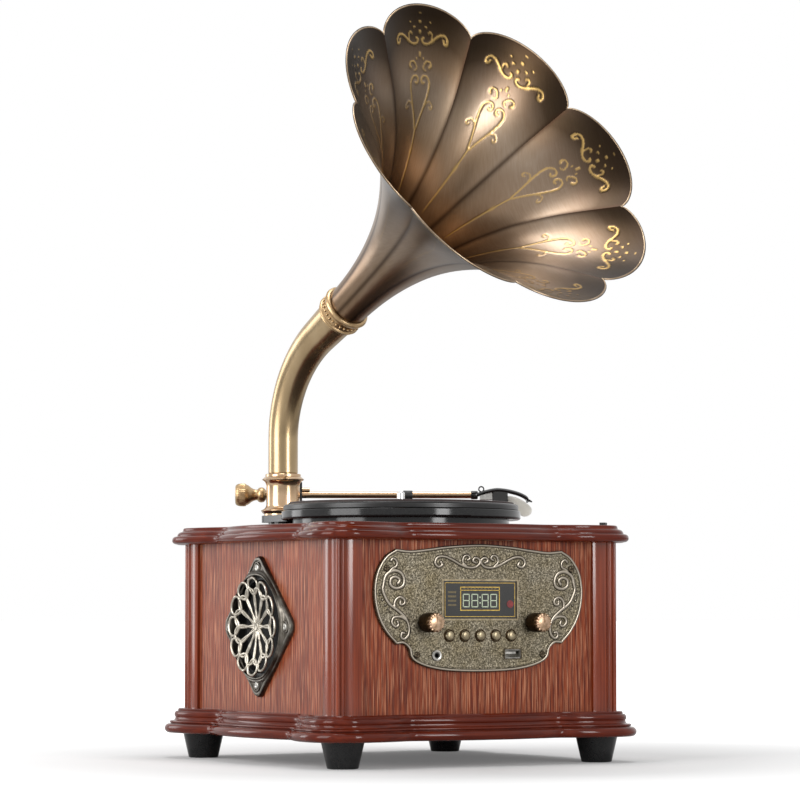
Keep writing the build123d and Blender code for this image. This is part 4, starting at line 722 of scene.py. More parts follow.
# Push buttons
# Five domed caps pressed from bronze-plated metal, each in a turned ring on the plate.
# They sit behind the plate on a flange and spring back.
button_level, button_pitch = 108.4, 15.2
button_ring = [(4.65, -1.2), (4.65, 0.45), (4.8, 0.7), (5.1, 0.7), (5.35, 0.4), (5.4, -0.4),
               (4.65, -0.4)]
button_dome = [(0, -3.3), (4.4, -3.3), (4.4, 0.9), (4.1, 1.8), (3.4, 2.5), (2.2, 2.95),
               (1.0, 3.08), (0, 3.1)]
rings = []
for i in range(5):
    middle = ((i - 2) * button_pitch, -plate_face, button_level)
    rings.append(turned(button_ring, 40, middle, (0, -1, 0)))
    name = "button_" + str(i + 1)
    solid(name.replace("_", "_cap_"), *turned(button_dome, 40, middle, (0, -1, 0)), pewter, name,
          (name,), "antique_bronze", angle=40)
solid("button_rings", *joined(rings), dark_brass, "cabinet", slot="antique_bronze")

# Sockets
# A 3.5 mm socket with a turned steel ring, and a USB shell folded from steel strip.
# The inside of both is black nylon.
black_nylon = mottled("black_nylon", 1.5, [(0.3, "0d0d0d"), (0.7, "1c1b1a")], Roughness=0.5)
dress(black_nylon, "jack_socket")
dress(steel, "usb_socket")
ring_profile = [(2.6, -0.4), (2.6, 0.75), (3.0, 0.95), (4.2, 0.95), (4.6, 0.6), (4.65, -0.2),
                (2.6, -0.4)]
solid("jack_ring", *turned(ring_profile, 48, (jack_x, -138.2, jack_z), (0, -1, 0)), steel,
      "cabinet", slot="steel")
usb_frame = outline_bars(usb_x - 8.8, usb_z - 4.5, usb_x + 8.8, usb_z + 4.5, 0.9, 137.2, 138.25)
solid("usb_frame", *joined(usb_frame), dark_metal, "cabinet", slot="steel")

# Grilles and loudspeakers
# A lozenge frame with a flower of round wire loops, cast in zinc and blackened.
# Its raised loops are rubbed bright, and a black cone shows behind them.
cast_wire = mottled("blackened_cast_zinc", 6,
                    [(0.3, "8a8478"), (0.55, "b3ac9f"), (0.75, "d6d0c5")],
                    detail=3.0, Metallic=1.0, Roughness=0.3)
dark_frame = mottled("blackened_lozenge", 8, [(0.3, "47433c"), (0.6, "66615a"), (0.8, "8a8479")],
                     detail=3.0, Metallic=1.0, Roughness=0.33)
grille_z = 115.7
flower_low, flower_rise = 3.4, 5.2
panel_face = 134.5
hole_radius = 43.0
corner, boss = 50.0, 10.0
corners = ((corner, 0), (-corner, 0), (0, corner), (0, -corner))
columns = 240
angle = np.linspace(0, 2 * math.pi, columns, endpoint=False)
reach = []
for a in angle:
    folded = abs((math.degrees(a) + 45) % 90 - 45)
    straight = (corner / math.sqrt(2) + boss) / math.cos(math.radians(45 - folded))
    t = math.radians(folded)
    inside = boss ** 2 - (corner * math.sin(t)) ** 2
    past = inside > 0 and straight * math.cos(t) > corner + boss / math.sqrt(2)
    reach.append(corner * math.cos(t) + math.sqrt(inside) if past else straight)
reach = np.array(reach)
# The lip's rows go out from the hole, the edge's rows come in from the outline.
lip_rows = ((0.0, 0.0), (0.0, 5.6), (0.5, 6.3), (1.2, 6.5), (1.9, 6.3), (2.3, 5.7), (2.8, 5.3),
            (3.6, 5.5), (4.1, 5.2), (4.6, 4.5), (5.6, 3.7))
edge_rows = ((4.2, 3.1), (3.7, 3.9), (3.1, 4.1), (1.3, 3.7), (0.45, 2.6), (0.0, 1.4), (0.0, 0.0))
frame_rows = [(np.minimum(hole_radius + out, hole_radius + (reach - hole_radius) * out / 8), high)
              for out, high in lip_rows] + [(reach - back, high) for back, high in edge_rows]
boss_profile = [(0, 0.5), (5.4, 0.5), (5.4, 3.9), (5.0, 4.4), (4.3, 4.4), (3.9, 3.9), (3.9, 3.6),
                (0, 3.6)]
lining_profile = [(40.4, -5.9), (40.4, 0.05), (43.0, 0.05), (43.0, 0.4), (40.0, 0.4),
                  (40.0, -5.9), (40.4, -5.9)]
hub_profile = [(0, flower_low - 1.2), (3.6, flower_low - 1.2), (4.2, flower_low - 0.2),
               (4.0, flower_low + 1.2), (3.2, flower_low + 1.9), (1.8, flower_low + 1.5),
               (0, flower_low + 1.3)]
for side, name in ((-1, "left"), (1, "right")):
    middle, outward = (side * panel_face, 0, grille_z), (side, 0, 0)
    rows = [np.stack([np.full(columns, side * (panel_face + high)), radius * np.cos(angle),
                      grille_z + radius * np.sin(angle)], -1) for radius, high in frame_rows]
    points = np.vstack(rows + rows[:1])
    quads = grid_faces(len(rows) + 1, columns, closed=True)
    bosses = [turned(boss_profile, 36, (side * panel_face, u, grille_z + w), outward)
              for u, w in corners]
    points, quads = joined([(points, quads)] + bosses)
    solid("lozenge_" + name, points, quads, dark_frame, "cabinet", ("grille_" + name,),
          "antique_bronze", angle=40)
    loops = []
    for ring_radius, length, width, wire, point, roll in (
            (17.9, 15.4, 11.9, 1.2, 1.1, math.pi / 12), (34.2, 7.2, 9.4, 1.25, 0.25, 0.0)):
        ring, ring_quads = grown(ring_of_loops, 12, ring_radius, length, width, wire, point,
                                 cast_wire)
        gap = np.hypot(ring[:, 0], ring[:, 1])
        ring[:, 2] += flower_low + flower_rise * np.clip(gap / 41, 0, 1) ** 1.5
        loops.append((laid(ring, middle, outward, roll), ring_quads))
    loops.append(turned(hub_profile, 48, middle, outward))
    points, quads = joined(loops)
    solid("wire_flower_" + name, points, quads, cast_wire, "cabinet", slot="antique_bronze",
          angle=50)
    lining = turned(lining_profile, 120, middle, outward)
    solid("hole_lining_" + name, *lining, black_nylon, "cabinet", slot="dark_plastic")
points, quads = joined([screw_heads([(side * 138.5, u, grille_z + w) for u, w in corners],
                                    (side, 0, 0), radius)
                        for side, radius in ((-1, 3.2), (1, 3.1))])
solid("grille_screw_heads", points, quads, steel, "cabinet", ("grille_screws",), "steel",
      angle=50)
cone_paper = mottled("pressed_black_paper", 1.2, [(0.3, "0b0b0b"), (0.7, "1d1c1b")],
                     bump=(0.1, 0.6), Roughness=0.75)
dress(cone_paper, "cone_left", "cone_right")
black_enamel = mottled("black_enamelled_steel", 4, [(0.3, "0f0f10"), (0.7, "1c1c1d")],
                       Roughness=0.4)
dress(black_enamel, "driver_left", "driver_right")

# Boards, motor and other hidden pieces
# Green glass-fibre boards with dark parts, a pressed steel motor and a steel nut.
# They sit inside the closed cabinet and show only where a panel is off.
board_green = mottled("solder_mask_green", 4, [(0.3, "123a22"), (0.7, "1f5a34")], Roughness=0.45)
dress(board_green, "main_board", "control_board")
dress(steel, "motor", "post_nut")
dress(black_nylon, "mains_inlet", "pulley", "belt")

# Turntable deck
# A round moulded ABS deck in gloss black, with ears that carry the horn post and the arm.
# It stands on a set-in plinth, so a line of light shows under its edge.
dress(gloss_black, "deck")

# Platter, mat and spindle
# A black coated aluminium platter with a turned edge, under a ribbed maroon-black rubber mat.
# The spindle is polished chrome.
coated = mottled("black_coated_aluminium", 5, [(0.3, "121212"), (0.7, "1f1e1e")],
                 Metallic=0.2, Roughness=0.3)
dress(coated, "platter")
mat_rubber = mottled("ribbed_rubber", 2.0, [(0.3, "1c0f0e"), (0.7, "2e1a18")], detail=3.0,
                     bump=(0.05, 0.5), Roughness=0.68)
mat_profile = [(5.4, 220.8), (5.4, 222.4), (6.0, 222.7)]
for radius in np.arange(8.0, 94.0, 3.0):
    mat_profile += [(radius, 222.75), (radius + 0.5, 222.35), (radius + 1.2, 222.35),
                    (radius + 1.7, 222.75)]
mat_profile += [(96.6, 222.75), (97.7, 222.4), (98.0, 221.8), (98.0, 220.8), (5.4, 220.8)]
solid("ribbed_mat", *turned(mat_profile, 144, (spindle_x, spindle_y, 0), (0, 0, 1)), mat_rubber,
      "platter", ("mat",), "black_rubber", angle=25)
chrome = mottled("polished_chrome", 6, [(0.3, "c9c9c9"), (0.7, "dedede")],
                 Metallic=1.0, Roughness=0.08)
dress(chrome, "spindle")

# Speed slider
# A small ridged nylon cap on a slide in the top board.
dress(black_nylon, "speed_selector")

# Tone arm
# A brass tube hinged in a nylon yoke, with a turned brass counterweight at its tail.
# The head shell is a gloss black canopy over a ceramic cartridge with a clear stylus guard.
pivot = np.array((-34.0, 120.0))
arm_level = 233.5
rest_angle = math.radians(29.0)
along = np.array((math.cos(rest_angle), -math.sin(rest_angle), 0.0))
aside = np.array((-along[1], along[0], 0.0))


def on_arm(reach, side_way, level):
    """A point by its distance along the arm, its offset away from the front and its height."""
    return (np.array((pivot[0], pivot[1], 0.0)) + reach * along + side_way * aside
            + np.array((0, 0, level)))


bright_brass = mottled("polished_brass", 12, [(0.3, "b89a7a"), (0.7, "ccb090")],
                       Metallic=1.0, Roughness=0.2)
dress(bright_brass, "arm_tube")
dress(black_nylon, "arm_base", "arm_yoke", "arm_rest")
sleeve = [(3.2, -4.2), (3.9, -4.2), (4.1, -3.6), (4.1, 3.6), (3.9, 4.2), (3.2, 4.2), (3.2, -4.2)]
solid("arm_sleeve", *turned(sleeve, 32, on_arm(100, 0, arm_level), along), black_nylon,
      "tone_arm", slot="dark_plastic")
weight = [(0, -55.6), (7.2, -55.6), (8.4, -55.3), (9.4, -54.3), (9.9, -52.8), (10.25, -51.0),
          (10.3, -48.0), (10.2, -46.6), (9.3, -45.6), (9.0, -44.6), (8.2, -43.2), (6.6, -41.4),
          (5.4, -39.2), (4.8, -36.9), (5.0, -35.6), (6.2, -34.6), (6.75, -33.2), (6.8, -31.4),
          (6.3, -29.8), (5.0, -28.6), (4.2, -27.9), (3.0, -27.9), (3.0, -50.0), (0, -50.0)]


def knurled(radius, height, angle):
    """The counterweight's grip, ribbed along its length."""
    if -53.0 < height < -46.0:
        return radius - 0.35 * (0.5 + 0.5 * np.cos(36 * angle))
    return np.full(angle.shape, float(radius))


solid("turned_counterweight", *turned(weight, 144, on_arm(0, 0, arm_level), along, knurled),
      aged, "tone_arm", ("counterweight",), "aged_brass", angle=35)
canopy = smooth_line([(162.6, 235.6), (166.0, 236.8), (170.0, 238.1), (176.0, 239.5),
                      (181.9, 240.0), (191.0, 238.9), (200.3, 236.4), (206.5, 233.5),
                      (208.8, 231.2), (209.0, 228.7)], 3)
under = smooth_line([(162.6, 233.6), (166.5, 235.0), (170.8, 236.4), (176.2, 237.8),
                     (181.9, 238.3), (190.5, 237.2), (199.8, 234.8), (205.4, 232.2),
                     (207.2, 230.4), (207.4, 228.7)], 3)
shell_columns, shell_half, shell_wall = 15, 7.6, 0.7
neck_share, neck_run = 0.62, 12


def canopy_rows(line, half, droop):
    """Rows of points across the canopy, narrow at its neck and drooping to both sides."""
    rows = []
    for (s, z), (top_s, _) in zip(line, canopy):
        wide = neck_share + (1 - neck_share) * min(1.0, (top_s - canopy[0][0]) / neck_run)
        rows.append([on_arm(s, wide * half * t, z - droop * abs(t) ** 3.2)
                     for t in np.linspace(-1, 1, shell_columns)])
    return rows


top_rows = canopy_rows(canopy, shell_half, 1.9)
under_rows = canopy_rows(under, shell_half - shell_wall, 1.7)
shell = np.array(top_rows + under_rows[::-1] + top_rows[:1]).reshape(-1, 3)
count = len(top_rows)
quads = grid_faces(2 * count + 1, shell_columns)
for r in range(count - 1):
    for edge in (0, shell_columns - 1):
        quads.append(tuple(row * shell_columns + edge
                           for row in (r, r + 1, 2 * count - 2 - r, 2 * count - 1 - r)))
collar = turned([(0, 157.0), (3.3, 157.0), (3.8, 157.5), (3.8, 162.4), (3.3, 163.2), (0, 163.2)],
                32, on_arm(0, 0, arm_level), along)
loop_ring = [(2.25 + 0.62 * math.cos(a), 0.62 * math.sin(a))
             for a in np.linspace(0, 2 * math.pi, 9)]
loop = turned(loop_ring, 28, on_arm(166.4, 0, 238.9), aside)
lip_shape = [(206.9, 229.9), (209.2, 229.9), (212.2, 227.9), (212.2, 227.0), (207.4, 228.1)]
lip = [on_arm(s, w, z) for w in (-4.0, 4.0) for s, z in lip_shape]
points, quads = joined([(shell, quads), collar, loop, (lip, prism_faces(len(lip_shape)))])
solid("head_canopy", points, quads, gloss_black, "tone_arm", ("head_shell",), "black_lacquer",
      angle=40)


def arm_block(shape, half, bevel):
    """A block cut from a side outline, with softened long edges."""
    rows = []
    middle = np.mean(np.array(shape, float), axis=0)
    for w, shrink in ((-half, bevel), (-half + bevel, 0.0), (half - bevel, 0.0), (half, bevel)):
        row = []
        for s, z in shape:
            d = np.array((s, z)) - middle
            d = d * (1 - shrink / max(np.linalg.norm(d), 1e-6))
            row.append(on_arm(middle[0] + d[0], w, middle[1] + d[1]))
        rows.append(row)
    count = len(shape)
    points = np.array(rows).reshape(-1, 3)
    quads = grid_faces(4, count, closed=True)
    quads += [tuple(range(count)), tuple(range(4 * count - 1, 3 * count - 1, -1))]
    return points, quads


grey_abs = mottled("light_grey_abs", 3, [(0.3, "8f8f8c"), (0.7, "b3b2ae")], Roughness=0.42)
plug = arm_block([(165.2, 229.2), (176.6, 229.2), (176.6, 237.0), (172.0, 236.2),
                  (165.2, 234.0)], 5.0, 0.5)
solid("cartridge_plug", *plug, grey_abs, "tone_arm", slot="grey_plastic")
body = arm_block([(176.7, 226.8), (190.0, 226.8), (190.0, 236.6), (186.0, 237.4),
                  (176.7, 237.4)], 6.6, 0.5)
lever = arm_block([(188.0, 230.0), (191.0, 229.6), (198.0, 227.4), (202.4, 223.8),
                   (203.8, 219.2), (203.2, 217.4), (202.4, 219.0), (201.4, 223.0),
                   (197.4, 226.2), (190.8, 228.4), (188.0, 228.8)], 0.6, 0.15)
solid("ceramic_cartridge", *joined([body, lever]), black_nylon, "tone_arm", ("cartridge",),
      "dark_plastic")
milky = mottled("milky_polystyrene", 5, [(0.3, "dcd9cf"), (0.7, "f1efe8")],
                Roughness=0.3, Transmission_Weight=0.55, IOR=1.49)
dress(milky, "stylus_guard")

# Horn post
# A brass column turned from bar, lacquered, with a knife edge at its foot and two rings.
# It screws down on the deck's ear and holds the elbow in its socket.
post_x, post_y = -61.5, 95.7
brushed, tree, shader = finish("satin_brass", Metallic=1.0, Roughness=0.27)
rubbing = stretched(tree, (0.8, 0.8, 30), 3.0)
patina = stretched(tree, (30, 30, 90), 2.0)
worn = ramp(tree, patina, [(0.3, "a18c6c"), (0.5, "b39d7c"), (0.7, "c6b392")])
lines = ramp(tree, rubbing, [(0.3, "ece6da"), (0.7, "ffffff")])
tree.links.new(blend_colour(tree, "MULTIPLY", 0.5, worn, lines), shader.inputs["Base Color"])
raise_surface(tree, shader, rubbing, 0.008, 0.1)
post_profile = [(0, 213.6), (17.0, 213.6), (17.0, 215.3), (18.2, 215.9), (19.6, 218.0),
                (19.4, 218.5), (18.0, 219.1), (16.6, 219.9), (15.6, 221.2), (15.05, 222.4),
                (14.9, 223.6), (14.9, 240.0), (15.05, 241.4), (15.6, 242.9), (16.5, 244.2),
                (17.6, 245.0), (18.6, 245.5), (18.7, 246.1), (16.4, 248.1), (15.9, 248.4),
                (15.9, 250.2), (15.4, 250.8), (14.6, 250.9), (12.05, 250.9), (12.05, 226.2),
                (0, 226.2)]
column = turned(post_profile, 96, (post_x, post_y, 0), (0, 0, 1))
stud = turned([(0, 172.0), (6.0, 172.0), (6.0, 213.6), (0, 213.6)], 32, (post_x, post_y, 0),
              (0, 0, 1))
solid("turned_post", *joined([column, stud]), bright_brass, "cabinet", ("horn_post",),
      "polished_brass", angle=32)

# Elbow
# A brass tube bent over sand and drawn to a taper, brushed along its length.
# Its plain end turns in the post; the far end is soldered into the collar.
heading = np.array((math.sin(math.radians(10.85)), -math.cos(math.radians(10.85)), 0.0))
sideways = np.array((-heading[1], heading[0], 0.0))
bend_start, bend_radius, rise, straight_run = 281.9, 105.0, math.radians(31.2), 36.0
elbow_low, low_radius, high_radius, elbow_wall, elbow_sides = 251.2, 13.2, 18.0, 2.2, 96
upright_run = bend_start - elbow_low
bend_run = bend_radius * (math.pi / 2 - rise)
elbow_length = upright_run + bend_run + straight_run
axis = heading * math.cos(rise) + np.array((0, 0, math.sin(rise)))


def elbow_middle(run):
    """The middle line's point and direction at a run along the elbow."""
    foot = np.array((post_x, post_y, 0.0))
    if run <= upright_run:
        return foot + np.array((0, 0, elbow_low + run)), np.array((0, 0, 1.0))
    turn = min((run - upright_run) / bend_radius, math.pi / 2 - rise)
    point = (foot + heading * bend_radius * (1 - math.cos(turn))
             + np.array((0, 0, bend_start + bend_radius * math.sin(turn))))
    direction = heading * math.sin(turn) + np.array((0, 0, math.cos(turn)))
    return point + direction * max(0.0, run - upright_run - bend_run), direction


def tube_radius(run):
    """Outside radius of the elbow at a run."""
    part = max(0.0, run - upright_run) / (elbow_length - upright_run)
    return low_radius + (high_radius - low_radius) * part ** 1.6


def tube_rows(runs, radii, sides):
    """Rings of points along the elbow's middle line."""
    angle = np.linspace(0, 2 * math.pi, sides, endpoint=False)
    rows = []
    for run, radius in zip(runs, radii):
        point, direction = elbow_middle(run)
        up = np.cross(sideways, direction)
        rows.append(point + (radius * np.cos(angle))[:, None] * sideways
                    + (radius * np.sin(angle))[:, None] * up)
    return np.vstack(rows)


outer_runs = np.concatenate([[0, 0.6], np.linspace(2, elbow_length, 70)])
outer_radii = [tube_radius(r) for r in outer_runs]
outer_radii[0] -= 0.6
inner_runs = np.linspace(elbow_length, 0, 30)
rows = [tube_rows(outer_runs, outer_radii, elbow_sides),
        tube_rows(inner_runs, [tube_radius(r) - elbow_wall for r in inner_runs], elbow_sides)]
points = np.vstack(rows + [rows[0][:elbow_sides]])
quads = grid_faces(len(outer_runs) + len(inner_runs) + 1, elbow_sides, closed=True)
spigot = turned([(11.0, 226.4), (12.0, 226.4), (12.0, 251.5), (11.0, 251.5), (11.0, 226.4)], 64,
                (post_x, post_y, 0), (0, 0, 1))
points, quads = joined([(points, quads), spigot])
solid("bent_elbow", points, quads, brushed, "horn", ("elbow",), "polished_brass", angle=40)

# Collar
# A cast brass ring over the soldered joint, with a bead, a cove and a row of small balls.
# It is finished in the same mottled aged brass as the counterweight.
collar_middle, _ = elbow_middle(elbow_length)
collar_profile = [(18.1, -8.0), (19.0, -8.0), (19.6, -7.4), (19.4, -6.6), (20.3, -5.8),
                  (20.7, -5.0), (20.2, -4.2), (19.3, -3.6), (19.2, 2.6), (20.2, 3.2),
                  (20.9, 4.2), (21.4, 5.2), (21.8, 6.4), (21.4, 7.6), (20.5, 8.5), (19.6, 9.0),
                  (18.7, 9.0), (18.1, -8.0)]
ring = turned(collar_profile, 96, collar_middle, axis)
balls, ball_quads = grown(ring_of_beads, 30, 19.5, 1.25, material=aged)
balls = laid(balls, collar_middle - axis * 0.5, axis)
solid("beaded_collar", *joined([ring, (balls, ball_quads)]), aged, "horn", ("elbow_collar",),
      "aged_brass", angle=35)

# Horn bell
# Eight petals pressed from thin brass sheet, soldered along their creases and rolled at the rim.
# Each is embossed with scrolls; the bronze finish is dark in the sheet, partly as painted shade,
# and rubbed on the scrolls.
# Painted shade darkens the sheet at the rim and along the creases, and the outside takes paler
# tones as a painted sheen.
petals = 8
mouth_reach, mouth_height = 274.4, 507.3
mouth = np.array((post_x, post_y, mouth_height)) + heading * mouth_reach
elbow_tip, _ = elbow_middle(elbow_length)
throat = -float(np.linalg.norm(mouth - elbow_tip)) + 0.2
lateral = np.cross(axis, sideways)
crease_angle = math.radians(28.65)
stations = np.array([(throat, 18.0, 18.0), (-205.0, 18.9, 18.9), (-180.0, 21.6, 21.6),
                     (-150.0, 27.8, 27.9), (-120.0, 37.5, 38.0), (-90.0, 52.0, 53.2),
                     (-60.0, 72.0, 74.3), (-35.0, 95.0, 98.8), (-12.0, 123.0, 128.5),
                     (0.0, 138.3, 144.5), (9.5, 151.4, 156.4), (15.0, 159.4, 164.6)])


def hermite(places, knots, values):
    """A smooth curve through the stations with the slopes of their neighbours."""
    slope = np.gradient(values, knots)
    i = np.clip(np.searchsorted(knots, places) - 1, 0, len(knots) - 2)
    h = knots[i + 1] - knots[i]
    t = (places - knots[i]) / h
    return ((2 * t ** 3 - 3 * t ** 2 + 1) * values[i] + (t ** 3 - 2 * t ** 2 + t) * h * slope[i]
            + (-2 * t ** 3 + 3 * t ** 2) * values[i + 1] + (t ** 3 - t ** 2) * h * slope[i + 1])


def petal_radius(places, part):
    """Radius of the bell at places along the axis and a share across a petal."""
    crease = hermite(places, stations[:, 0], stations[:, 1])
    middle = hermite(places, stations[:, 0], stations[:, 2])
    half = math.pi / petals
    centre = (middle ** 2 - crease ** 2) / (2 * (middle - crease * math.cos(half)))
    psi = (2 * part - 1) * half
    bow = middle - centre
    return centre * np.cos(psi) + np.sqrt(np.maximum(bow ** 2 - (centre * np.sin(psi)) ** 2, 0))


petal_columns, petal_rows = 80, 134
part = np.linspace(0, 1, petal_columns)
fine = np.linspace(stations[0, 0], stations[-1, 0], 1500)
crease_rim, petal_rim = 138.3, 155.5
rim_radius = crease_rim + (petal_rim - crease_rim) * (1 - abs(2 * part - 1) ** 2) ** 0.7
depth = np.array([np.interp(limit, petal_radius(fine, p), fine)
                  for p, limit in zip(part, rim_radius)])
middle_run = np.concatenate([[0], np.cumsum(np.hypot(np.diff(fine),
                                                     np.diff(petal_radius(fine, 0.5))))])
tip_run = float(np.interp(depth[petal_columns // 2], fine, middle_run))
# Rows stand close for the first 118 mm from the rim, where most scrolls are, and wider beyond.
close_rows = np.arange(0, 118, 1.15)
from_rim = np.concatenate([close_rows,
                           np.linspace(119.5, tip_run, petal_rows - len(close_rows))])
row_place = np.interp(tip_run - from_rim, middle_run, fine)
row_share = (row_place - fine[0]) / (depth[petal_columns // 2] - fine[0])
place_grid = fine[0] + row_share[:, None] * (depth[None, :] - fine[0])
radius_grid = petal_radius(place_grid, part[None, :])
from_rim_grid = np.broadcast_to(from_rim[:, None], place_grid.shape)
lateral_grid = (2 * part[None, :] - 1) * (math.pi / petals) * radius_grid
scroll_half, leaf_half = 0.95, 0.75
rim_strokes = mirrored([
    (smooth_line([(26.8, 24.6), (27.6, 27.0), (30.2, 26.0), (30.7, 22.5), (28.0, 20.3),
                  (21.3, 23.0), (13.5, 30.0), (7.7, 32.8), (3.6, 32.0), (2.6, 29.2),
                  (4.6, 27.8)]), scroll_half * 1.25, scroll_half),
    (smooth_line([(12.4, 30.5), (14.2, 27.5), (14.2, 23.8), (12.1, 22.0), (10.4, 23.6)]),
     leaf_half, leaf_half),
    (smooth_line([(11.0, 52.4), (12.9, 50.4), (11.8, 47.6), (8.6, 47.2), (5.4, 50.0),
                  (4.0, 54.0), (6.6, 55.0)]), scroll_half, leaf_half),
    (smooth_line([(5.4, 65.6), (3.6, 66.6), (2.0, 64.4), (3.2, 61.0), (7.5, 59.8),
                  (11.2, 65.0), (10.0, 74.5), (7.0, 85.0), (3.4, 96.0), (0.8, 105.5)]),
     scroll_half, scroll_half),
    (smooth_line([(7.4, 85.5), (9.6, 82.0), (13.2, 80.9), (15.9, 83.4), (14.4, 86.4),
                  (12.6, 85.0)]), leaf_half, leaf_half),
] + [([(x, z), (x + 0.2, z + 0.2)], half, half) for x, z, half in (
    (7.0, 18.5, 1.0), (12.2, 13.5, 0.85), (4.1, 45.4, 0.9))])
rim_strokes += [([(0, z), (0, z + long)], half, half) for z, long, half in (
    (22.0, 1.4, 1.1), (13.6, 0.8, 1.1), (6.4, 0.3, 0.85), (39.8, 4.0, 0.9), (105.5, 66.0, 0.95),
    (125.0, 4.0, 1.7))]
rim_strokes += [([(-4.0, 127.0), (4.0, 127.0)], leaf_half, leaf_half)]
emboss = relief(lateral_grid, from_rim_grid, rim_strokes)
edge_fade = np.clip(from_rim_grid / 2.0, 0, 1)
bulge = 0.6 * emboss * edge_fade
slope_grid = (np.gradient(radius_grid, axis=0)
              / np.minimum(np.gradient(place_grid, axis=0), -1e-6))
tilt = np.sqrt(1 + slope_grid ** 2)
sheet = 0.9


def bell_points(places, radii, petal, part):
    """Points of one petal from its places, radii and shares across."""
    angle = crease_angle + (petal + part) * 2 * math.pi / petals
    return (mouth + places[..., None] * axis
            + (radii * np.cos(angle))[..., None] * sideways
            + (radii * np.sin(angle))[..., None] * lateral)


sheet_bronze, tree, shader = finish("satin_bronze_sheet", Metallic=1.0, Roughness=0.31)
depth_share_for_painted_shade = add(tree, "ShaderNodeAttribute", attribute_name="depth", attribute_type="GEOMETRY")
cloud = stretched(tree, 110, 2.0)
brush = stretched(tree, (1.0, 12, 12), 3.0)
# Painted shade and sheen: the tone is darkest at the rim, where the flared edge would reflect
# darker, and paler further in.
tone = ramp(tree, depth_share_for_painted_shade.outputs["Fac"],
            [(0.0, "2a211a"), (0.05, "33291f"), (0.09, "3f3328"), (0.16, "6c5c4e"),
             (0.26, "908070"), (0.5, "87705a"), (0.75, "735738"), (1.0, "7d5e42")])
warm = ramp(tree, cloud, [(0.35, "c9b6a2"), (0.5, "ffffff"), (0.65, "ecdcb8")])
base = blend_colour(tree, "MULTIPLY", 0.4, tone, warm)
grain_part = ramp(tree, brush, [(0.3, "e4dbd0"), (0.7, "ffffff")])
base = blend_colour(tree, "MULTIPLY", 0.5, base, grain_part)
# The crease mark darkens the sheet along each crease: painted shade.
for label, code in (("proud", "b8975c"), ("painted_crease_shade", "33241a")):
    mark = add(tree, "ShaderNodeAttribute", attribute_name=label, attribute_type="GEOMETRY")
    base = blend_colour(tree, "MIX", mark.outputs["Fac"], base, colour(code))
tree.links.new(base, shader.inputs["Base Color"])
# Painted shade along the creases: a narrow band that fades out at the rim.
crease_gap = np.minimum(part, 1 - part)[None, :] * 2 * math.pi / petals * radius_grid
painted_crease_shade = 0.75 * np.exp(-(crease_gap / 2.2) ** 2) * np.clip(from_rim_grid / 6, 0, 1)
total = petal_columns * petal_rows
outer_quads = grid_faces(petal_rows, petal_columns)
quads = outer_quads + [tuple(i + total for i in reversed(f)) for f in outer_quads]
edge_ring = border(petal_rows, petal_columns)
for here, after in zip(edge_ring, edge_ring[1:] + edge_ring[:1]):
    quads.append((here, here + total, after + total, after))
for petal in range(petals):
    inner = bell_points(place_grid + bulge, radius_grid - sheet * tilt, petal, part[None, :])
    outer = bell_points(place_grid, radius_grid, petal, part[None, :])
    points = np.vstack([outer.reshape(-1, 3), inner.reshape(-1, 3)])
    piece = solid("horn_petal_" + str(petal + 1), points, quads, sheet_bronze, "horn",
                  ("horn_bell",), "horn_bronze", angle=50)
    # The outside reads half the depth share, so it shows the paler tones as a painted sheen; the
    # crease shade is painted on both faces.
    for label, field, outside in (("proud", 0.8 * emboss, 0.15),
                                  ("painted_crease_shade", painted_crease_shade, 1.0),
                                  ("depth", from_rim_grid / tip_run, 0.5)):
        mark_points(piece, label, np.concatenate([outside * field.ravel(), field.ravel()]))
roll_depth = depth - 0.5
roll_reach = petal_radius(roll_depth, part) - 0.6
path = np.vstack([bell_points(roll_depth, roll_reach, petal, part)[:-1]
                  for petal in range(petals)])
ahead = np.roll(path, -1, axis=0) - np.roll(path, 1, axis=0)
ahead /= np.linalg.norm(ahead, axis=1)[:, None]
out = path - mouth
out -= (out @ axis)[:, None] * axis
out -= np.sum(out * ahead, axis=1)[:, None] * ahead
out /= np.linalg.norm(out, axis=1)[:, None]
up = np.cross(ahead, out)
sides, roll_radius = 10, 0.8
angle = np.linspace(0, 2 * math.pi, sides, endpoint=False)
ring = (path[:, None, :] + roll_radius * (np.cos(angle)[None, :, None] * out[:, None, :]
                                          + np.sin(angle)[None, :, None] * up[:, None, :]))
points = np.vstack([ring.reshape(-1, 3), ring[0]])
quads = grid_faces(len(path) + 1, sides, closed=True)
rim_bronze = mottled("rubbed_rim_bronze", 9, [(0.3, "85705a"), (0.7, "ab9880")],
                     Metallic=1.0, Roughness=0.3)
solid("rolled_rim", points, quads, rim_bronze, "horn", slot="horn_bronze", angle=80)

# Studio
# A pale floor under a white surround, kept greyer near the cabinet as a painted shadow, with three
# broad soft lamps and a low card behind.
# The camera stands where the photograph was taken, low and to the left.
floor_paint, tree, shader = finish("white_floor", Roughness=0.9, Specular_IOR_Level=0.1)
shader.inputs["Base Color"].default_value = colour("cfcfcf")
rays = add(tree, "ShaderNodeLightPath")
place = add(tree, "ShaderNodeTexCoord")
away = add(tree, "ShaderNodeVectorMath", links={0: place.outputs["Object"]}, operation="LENGTH")
